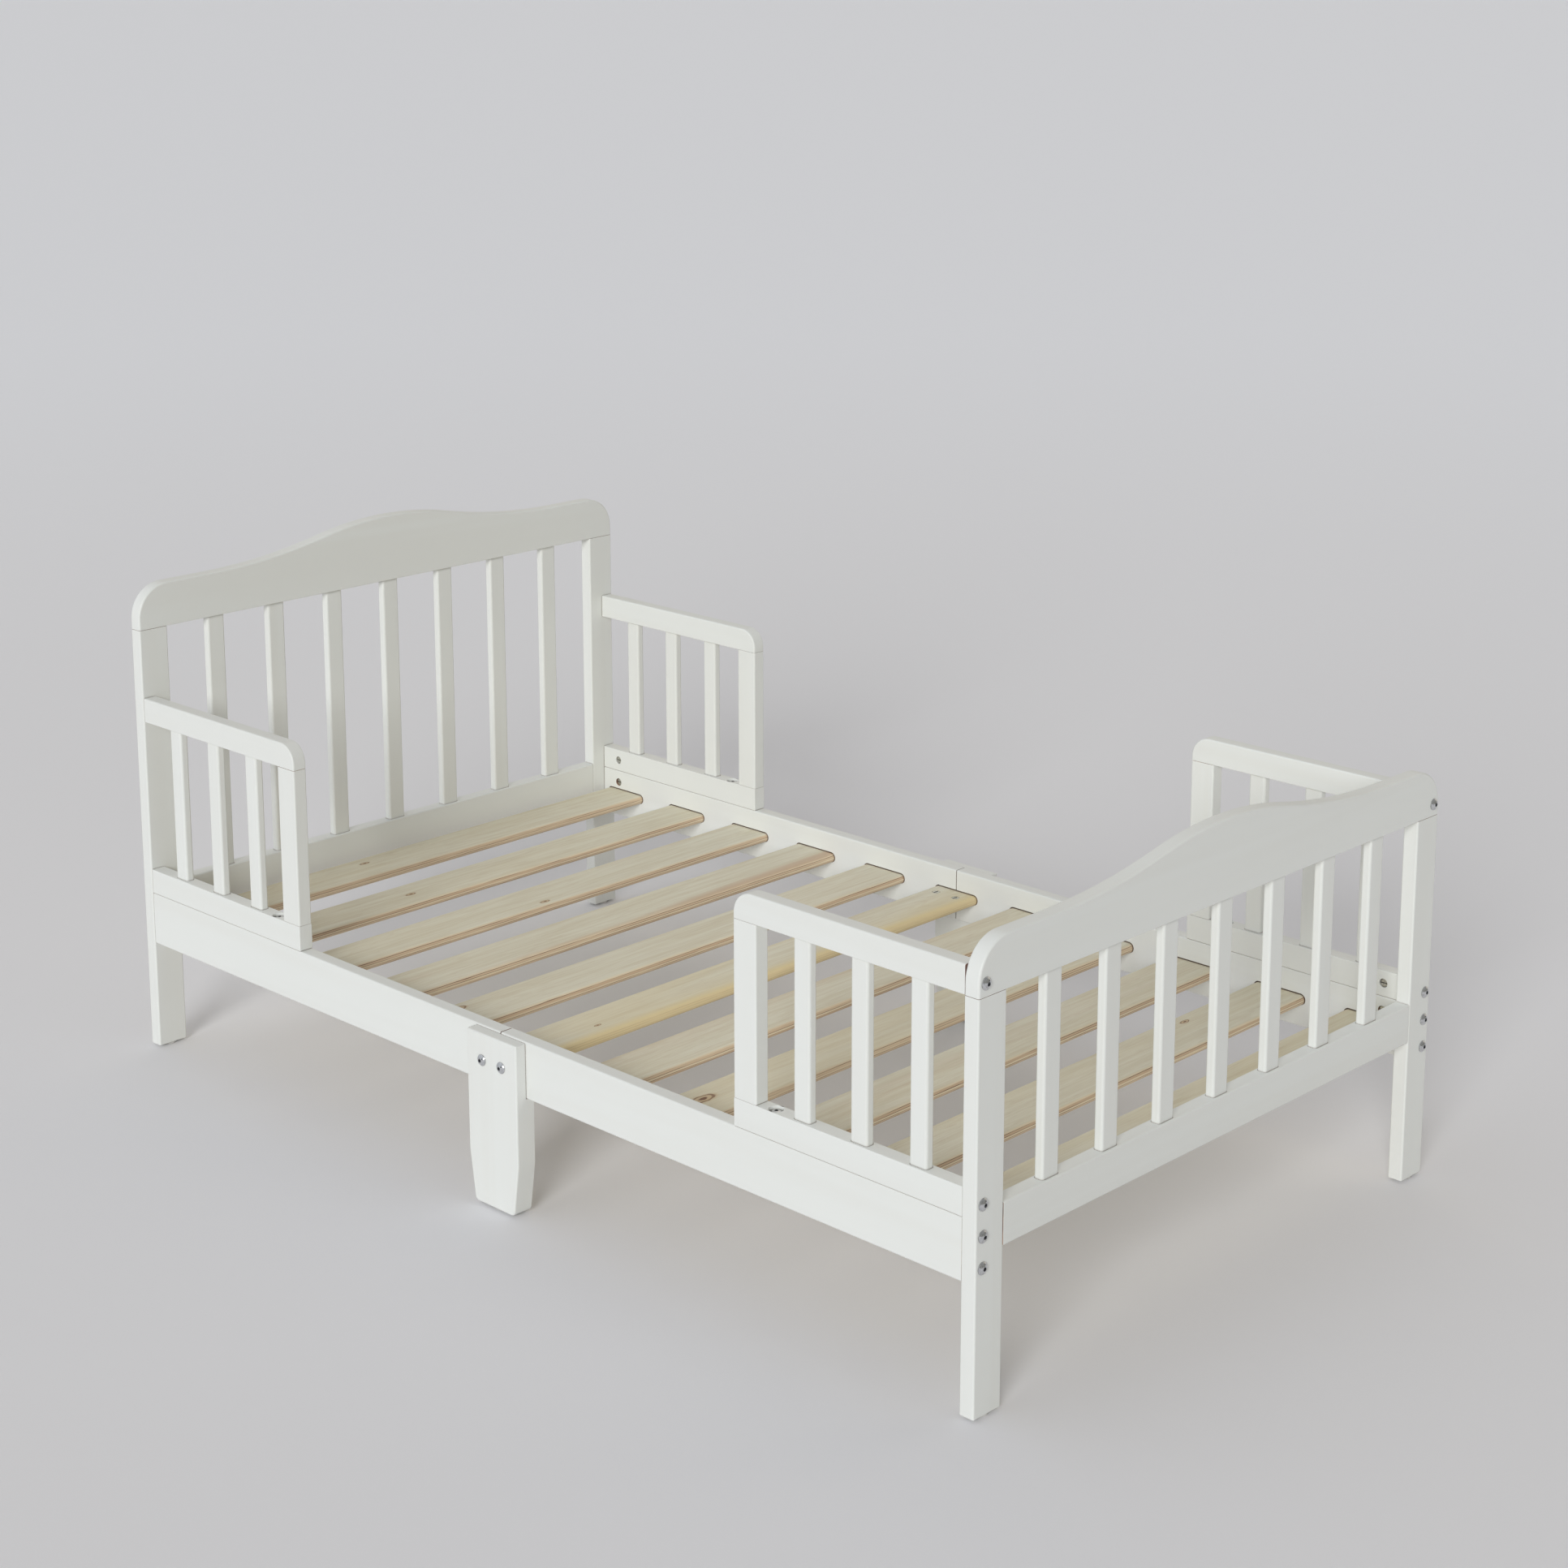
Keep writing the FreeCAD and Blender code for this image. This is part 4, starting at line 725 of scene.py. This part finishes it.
def makeLights():
    for name, (source, strength, width, colour) in lights.items():
        lamp = bpy.data.lights.new(name, "SUN")
        lamp.energy = strength
        lamp.angle = radians(width)
        lamp.color = colour
        light = bpy.data.objects.new(name, lamp)
        light.rotation_euler = Vector(source).to_track_quat("Z", "Y").to_euler()
        scene.collection.objects.link(light)


def makeDome():
    # light grows towards the ceiling; the camera itself sees a plain pale backdrop
    world = bpy.data.worlds.new("studio")
    world.use_nodes = True
    tree = world.node_tree
    direction = tree.nodes.new("ShaderNodeTexCoord").outputs["Generated"]
    upward = addNode(tree, "ShaderNodeSeparateXYZ", {0: direction}).outputs["Z"]
    height = calc(tree, "MAXIMUM", upward, 0.0)
    light = mixColour(tree, height, (0, 0, 0, 1), dome["zenith"])
    seen = tree.nodes.new("ShaderNodeLightPath").outputs["Is Camera Ray"]
    tone = mixColour(tree, seen, light, dome["backdrop"])
    tree.links.new(tone, tree.nodes["Background"].inputs["Color"])
    scene.world = world


viewpoint = {
    "location": (2.308, -2.322, 1.403),
    "azimuth": 44.141,           # degrees, as are down and roll
    "down": 12.419,
    "roll": -0.067,
    "sensor": 36,
    "lens": 67.1,
    "shift": -0.15,
    "farthest": 300,
}


def makeCamera():
    azimuth, down, roll = (radians(viewpoint[key]) for key in ("azimuth", "down", "roll"))
    ahead = Vector((-sin(azimuth) * cos(down), cos(azimuth) * cos(down), -sin(down)))
    right = ahead.cross(Vector((0, 0, 1))).normalized()
    up = right.cross(ahead)
    turned = Matrix((right * cos(roll) + up * sin(roll), up * cos(roll) - right * sin(roll), -ahead))
    lens = bpy.data.cameras.new("camera")
    lens.sensor_width = viewpoint["sensor"]
    lens.lens = viewpoint["lens"]
    lens.shift_y = viewpoint["shift"]
    lens.clip_end = viewpoint["farthest"]
    camera = bpy.data.objects.new("camera", lens)
    scene.collection.objects.link(camera)
    camera.matrix_world = Matrix.Translation(viewpoint["location"]) @ turned.transposed().to_4x4()
    scene.camera = camera


makeFloor()
makeLights()
makeDome()
makeCamera()
scene.view_settings.view_transform = "Standard"
print("floor, light and camera set")
